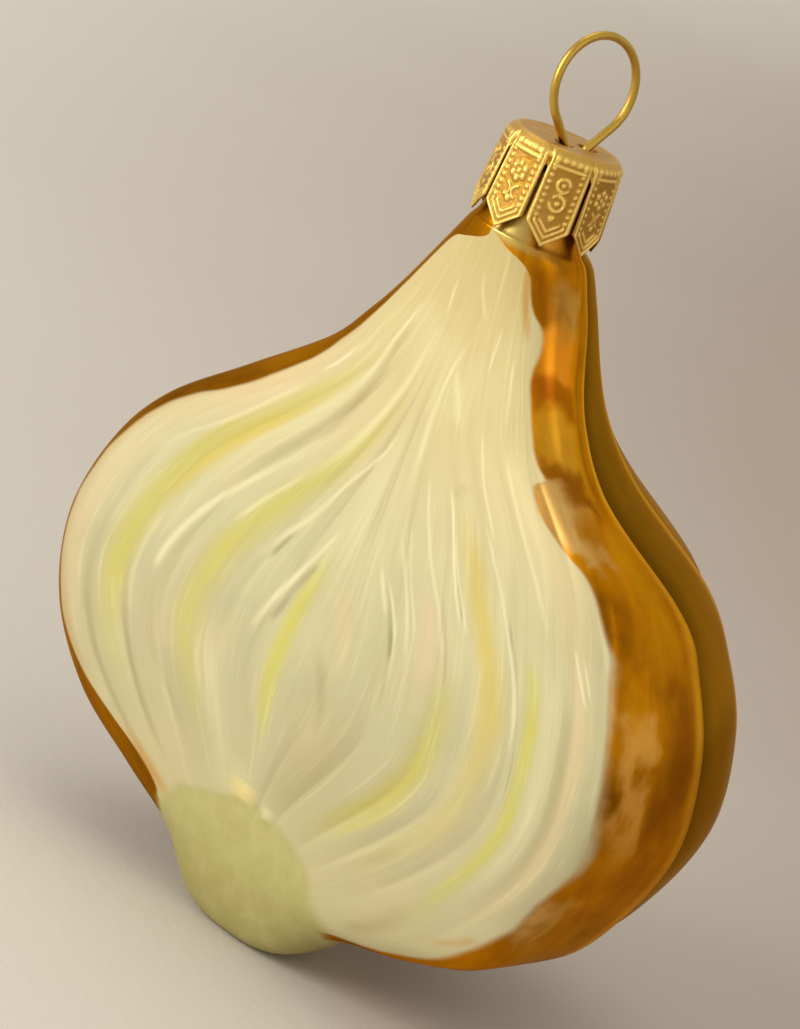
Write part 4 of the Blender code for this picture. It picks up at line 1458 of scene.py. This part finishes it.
@dataclass
class HangerWire:
    """The hanging wire: a ring above the cap and two sprung legs in the neck.

    Attributes:
        wire: Radius of the wire.
        ring: Radius of the ring, to the middle of the wire.
        hang: How far the wire's middle lies above the hanging point.
        azimuth: Direction of the ring's plane.
        lean: How far the ring leans back.
        opening: Angle from the ring's foot to where each side leaves the round.
        bend_from: How far below the ring's middle each side turns down.
        bend: Radius of that bend.
        leg_spread: Distance of each leg's end from the middle.
        leg_length: How far the legs reach below the ring's middle.
        leg_straight: How far they run straight.
        sides: Sides of the wire.
    """

    wire: float = 0.427
    ring: float = 5.0
    hang: float = 0.45
    azimuth: float = math.radians(80.5)
    lean: float = math.radians(6.3)
    opening: float = math.radians(47.8)
    bend_from: float = 5.68
    bend: float = 0.9
    leg_spread: float = 3.6
    leg_length: float = 21.0
    leg_straight: float = 7.6
    sides: int = 28

    def half_path(self) -> np.ndarray:
        """Half of the wire's middle line in the ring's plane, from the top down to a leg's end.

        Returns:
            Distance out and height of each point, measured from the ring's middle.
        """
        sine, cosine = math.sin(self.opening), math.cos(self.opening)
        straight = (self.bend_from - self.ring * cosine) / sine
        leg_out = self.ring * sine - straight * cosine - self.bend * (1.0 - sine)
        turn = np.linspace(0.0, math.pi - self.opening, 100)
        arc = np.stack((self.ring * np.sin(turn), self.ring * np.cos(turn)), axis=-1)
        turn = np.linspace(self.opening, 0.5 * math.pi, 12)
        bend = np.stack((leg_out + self.bend * (1.0 - np.sin(turn)),
                         self.bend * (np.cos(turn) - cosine) - self.bend_from), axis=-1)
        share = np.linspace(0.0, 1.0, 12)[1:-1, None]
        side = arc[-1] + (bend[0] - arc[-1]) * share
        share = np.linspace(0.0, 1.0, 24)
        leg = np.stack((leg_out + (self.leg_spread - leg_out) * share ** 2,
                        -self.leg_straight - (self.leg_length - self.leg_straight) * share), axis=-1)
        return np.concatenate((arc, side, bend, leg))

    def build(self, material: bpy.types.Material) -> bpy.types.Object:
        """Make the wire.

        Args:
            material: Its brass.

        Returns:
            The piece.
        """
        half = self.half_path()
        path = np.concatenate((half[:0:-1] * np.array((-1.0, 1.0)), half))
        along = np.array((math.cos(self.azimuth), math.sin(self.azimuth), 0.0))
        normal = np.array((-along[1], along[0], 0.0))
        upward = np.array((0.0, 0.0, math.cos(self.lean))) + normal * math.sin(self.lean)
        centre = np.array((0.0, 0.0, HANG_HEIGHT)) - upward * (self.ring - self.hang)
        middle = centre + path[:, :1] * along + path[:, 1:] * upward
        ahead = np.gradient(middle, axis=0)
        ahead /= np.linalg.norm(ahead, axis=1)[:, None]
        across = np.cross(along, upward)
        beside = np.cross(ahead, across)
        beside /= np.linalg.norm(beside, axis=1)[:, None]
        turn = 2.0 * math.pi * np.arange(self.sides) / self.sides
        travelled = np.concatenate(((0.0,), np.cumsum(np.linalg.norm(np.diff(middle, axis=0), axis=1))))
        dent = 1.0 - 0.012 * (1.0 + np.sin(travelled * 1.7)[:, None] * np.sin(turn * 2.0 + travelled[:, None] * 0.4))
        reach = self.wire * dent[..., None]
        rings = middle[:, None] + reach * (np.cos(turn)[None, :, None] * beside[:, None]
                                           + np.sin(turn)[None, :, None] * across)
        points = np.concatenate((rings.reshape(-1, 3), middle[:1], middle[-1:]))
        around = np.arange(self.sides)
        quads = (grid_quads(len(rings), self.sides, True), fan_faces(around, len(points) - 2, True),
                 fan_faces((len(rings) - 1) * self.sides + around, len(points) - 1, False))
        marks = {
            Mark.ALONG: np.append(np.repeat(travelled, self.sides), (travelled[0], travelled[-1])),
            Mark.ROUND: np.append(np.tile(np.abs(np.sin(0.5 * turn)), len(rings)), (0.0, 0.0)),
        }
        piece = mesh_piece("ring_wire", points, np.concatenate(quads), marks, material, Slot.WIRE)
        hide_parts("hanger_wire")
        return piece


@dataclass(frozen=True)
class GiltSheet:
    """Gilding on stamped sheet, darker in the stamped ground, with a painted highlight where it stands up and painted
    shade in its holes.

    Attributes:
        ground: Tone of the stamped ground.
        bright: Painted highlight that brightens it on the raised pattern.
        rubbed: Where it is rubbed thin.
        hollow: Painted shade that darkens it in the holes.
        metal: How metallic it looks.
        relief: Depth of its fine tooth.
    """

    ground: Colour = tone(192, 144, 58)
    bright: Touch = Touch(0.1, 0.8, 1.0, tone(252, 216, 118))
    rubbed: Touch = Touch(0.45, 0.7, 0.4, tone(218, 174, 100))
    hollow: Touch = Touch(0.1, -0.6, 1.0, tone(60, 42, 18))
    metal: float = 0.95
    relief: float = 0.10

    def make(self) -> bpy.types.Material:
        """Build the material.

        Returns:
            The finished gilding.
        """
        bench = NodeBench("gilding")
        where, raised = bench.place(), bench.mark(Mark.RAISED)
        cloud = bench.noise(where, 260.0, 3.0)
        # Painted highlight on the raised pattern, then the rubbed wear.
        colour = self.rubbed.lay(bench, cloud, self.bright.lay(bench, raised, self.ground))
        return bench.surface(
            # Painted shade in the holes.
            Base_Color=self.hollow.lay(bench, raised, colour),
            Metallic=self.metal,
            Roughness=0.46 - raised * 0.12 + (cloud - 0.5) * 0.14,
            Normal=bench.bump(bench.noise(where, 1500.0, 4.0, 0.65), self.relief))


@dataclass(frozen=True)
class DrawnBrass:
    """Drawn brass wire, faintly lined along its length.

    Attributes:
        bright: Its brighter tone.
        dull: Its duller tone.
        relief: Depth of the lines.
    """

    bright: Colour = tone(224, 188, 88)
    dull: Colour = tone(176, 138, 54)
    relief: float = 0.02

    def make(self) -> bpy.types.Material:
        """Build the material.

        Returns:
            The finished brass.
        """
        bench = NodeBench("drawn_brass")
        along, around = bench.mark(Mark.ALONG), bench.mark(Mark.ROUND)
        lines = bench.noise(bench.vector(along * 0.35, around * 14.0, 0.0), 2.0, 4.0, 0.6)
        cloud = bench.noise(bench.place(), 420.0, 3.0)
        colour = bench.blend(lines * 0.5 + cloud * 0.5, self.dull, self.bright)
        return bench.surface(
            Base_Color=colour, Metallic=1.0, Roughness=0.24 + lines * 0.16, Normal=bench.bump(lines, self.relief))


@dataclass(frozen=True)
class FloorPaint:
    """A plain pale floor with a faint tooth, and painted shade that makes it a little greyer towards one side.

    Attributes:
        pale: Its tone on the pale side.
        deep: Its tone on the other, where the painted shade is full.
        towards: Direction over the floor in which the painted shade deepens.
        away: Direction in which it turns pale again.
        turn: How quickly it does so.
        start: How deep it is under the ornament.
        cloudiness: How uneven it is.
        roughness: Its roughness.
        relief: Depth of its tooth.
    """

    pale: Colour = tone(226, 222, 212)
    deep: Colour = tone(178, 165, 154)
    towards: Triple = (3.00, 4.99, 0.0)
    away: Triple = (-0.588, 0.809, 0.0)
    turn: float = 3.46
    start: float = 0.36
    cloudiness: float = 0.2
    roughness: float = 0.85
    relief: float = 0.05

    def make(self) -> bpy.types.Material:
        """Build the material.

        Returns:
            The finished floor.
        """
        bench = NodeBench("floor_paint")
        where = bench.place()
        # Painted shade: deeper along one direction, paler again to either side of it.
        deepens, pales = (
            bench.node("ShaderNodeVectorMath", {"operation": "DOT_PRODUCT"}, {0: where, 1: way}, "Value")
            for way in (self.towards, self.away))
        cloud = (bench.noise(where, 9.0, 4.0) - 0.5) * self.cloudiness
        return bench.surface(
            Base_Color=bench.blend(deepens - pales * pales * self.turn + cloud + self.start, self.pale, self.deep),
            Roughness=self.roughness,
            Normal=bench.bump(bench.noise(where, 900.0), self.relief))


@dataclass
class Studio:
    """The floor, the soft lights and the camera.

    Attributes:
        turn: How far round the camera stands, in degrees.
        rise: How far it looks down.
        roll: How far it is rolled.
        aim_height: Height on the neck's line that it turns about.
        distance: Its distance from there.
        slide: How far it is slid across and up.
        focal: Focal length.
        sensor: Width of the film that it is meant for.
        floor_half: Half the floor's side, in metres.
        floor_gap: How far the floor lies under the root's tip.
        floor_lines: Lines of points each way on the floor.
        room: Tone of the room.
        room_strength: How strongly it lights.
        lights: Name, place to the camera's right, up and towards it, size, power and colour of each.
    """

    turn: float = 36.03
    rise: float = 14.71
    roll: float = 22.86
    aim_height: float = 45.0
    distance: float = 450.0
    slide: Band = (-0.754, 0.660)
    focal: float = 164.0
    sensor: float = 36.0
    floor_half: float = 6.0
    floor_gap: float = 0.1
    floor_lines: int = 9
    room: Colour = tone(226, 219, 208)
    room_strength: float = 0.84
    lights: tuple[tuple[str, Triple, float, float, Colour], ...] = (
        ("key", (-0.75, 0.62, 0.55), 0.85, 8.2, (1.0, 0.99, 0.96)),
        ("fill", (0.60, 0.05, 0.55), 0.50, 0.4, (1.0, 0.98, 0.95)),
        ("top", (0.10, 0.80, -0.10), 0.50, 0.8, (1.0, 0.99, 0.96)),
    )

    def axes(self) -> tuple[Vector, Vector, Vector]:
        """Where the camera looks.

        Returns:
            Its right, up and backward directions.
        """
        turn, rise, roll = (math.radians(angle) for angle in (self.turn, self.rise, self.roll))
        back = Vector((math.sin(turn) * math.cos(rise), -math.cos(turn) * math.cos(rise), math.sin(rise)))
        right = Vector((math.cos(turn), math.sin(turn), 0.0))
        up = back.cross(right)
        return right * math.cos(roll) + up * math.sin(roll), up * math.cos(roll) - right * math.sin(roll), back

    def aim(self) -> Vector:
        """The point that the camera turns about."""
        return Vector((0.0, 0.0, (self.aim_height - HANG_HEIGHT) * MM))

    def build_camera(self) -> None:
        """Set up the camera."""
        right, up, back = self.axes()
        data = bpy.data.cameras.new("camera")
        data.lens = self.focal
        data.sensor_width = self.sensor
        camera = bpy.data.objects.new("camera", data)
        place = (self.aim() + back * (self.distance * MM)
                 + right * (self.slide[0] * MM) + up * (self.slide[1] * MM))
        camera.matrix_world = Matrix.Translation(place) @ Matrix((right, up, back)).transposed().to_4x4()
        bpy.context.scene.collection.objects.link(camera)
        bpy.context.scene.camera = camera

    def build_lights(self) -> None:
        """Hang the soft lights and tint the room."""
        right, up, back = self.axes()
        for name, (across, rise, near), size, power, colour in self.lights:
            data = bpy.data.lights.new(name, "AREA")
            data.shape = "DISK"
            data.size, data.energy, data.color = size, power, colour
            lamp = bpy.data.objects.new(name, data)
            lamp.location = self.aim() + right * across + up * rise + back * near
            lamp.rotation_mode = "QUATERNION"
            lamp.rotation_quaternion = (self.aim() - lamp.location).to_track_quat("-Z", "Y")
            bpy.context.scene.collection.objects.link(lamp)
        world = bpy.data.worlds.new("room")
        world.use_nodes = True
        background = world.node_tree.nodes["Background"]
        background.inputs["Color"].default_value = (*self.room, 1.0)
        background.inputs["Strength"].default_value = self.room_strength
        bpy.context.scene.world = world

    def build_floor(self) -> None:
        """Lay the floor just under the root's tip."""
        mesh = bpy.data.meshes.new("floor")
        line = np.linspace(-self.floor_half, self.floor_half, self.floor_lines)
        x, y = np.meshgrid(line, line)
        points = np.stack((x, y, 0.0 * x), axis=-1).reshape(-1, 3)
        quads = grid_quads(self.floor_lines, self.floor_lines, False)
        mesh.from_pydata(points.tolist(), [], quads[:, ::-1].tolist())
        mesh.materials.append(FloorPaint().make())
        floor = bpy.data.objects.new("floor", mesh)
        floor.location.z = -(HANG_HEIGHT + self.floor_gap) * MM
        bpy.context.scene.collection.objects.link(floor)
        floor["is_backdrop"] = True

    def build(self) -> None:
        """Set everything up."""
        self.build_camera()
        self.build_lights()
        self.build_floor()
        bpy.context.scene.view_settings.view_transform = "Standard"


def corners(bounds: tuple[Vector, Vector]) -> list[list[float]]:
    """A box as plain lists."""
    return [list(corner) for corner in bounds]


def main() -> None:
    """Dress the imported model."""
    logging.basicConfig(level=logging.INFO, format="%(message)s")
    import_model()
    packed = corners(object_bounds())
    glass = GlassOnion()
    pieces = [
        glass.build(OnionLacquer(height=glass.outline[0][0]).make()),
        CrownCap().build(GiltSheet().make()),
        HangerWire().build(DrawnBrass().make()),
    ]
    for piece in pieces:
        LOG.info("%s: %d faces, %s", piece.name, len(piece.data.polygons), piece.data.materials[0].name)
    Studio().build()
    {"cad": packed, "visual": corners(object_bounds())}


if __name__ == "__main__":
    main()
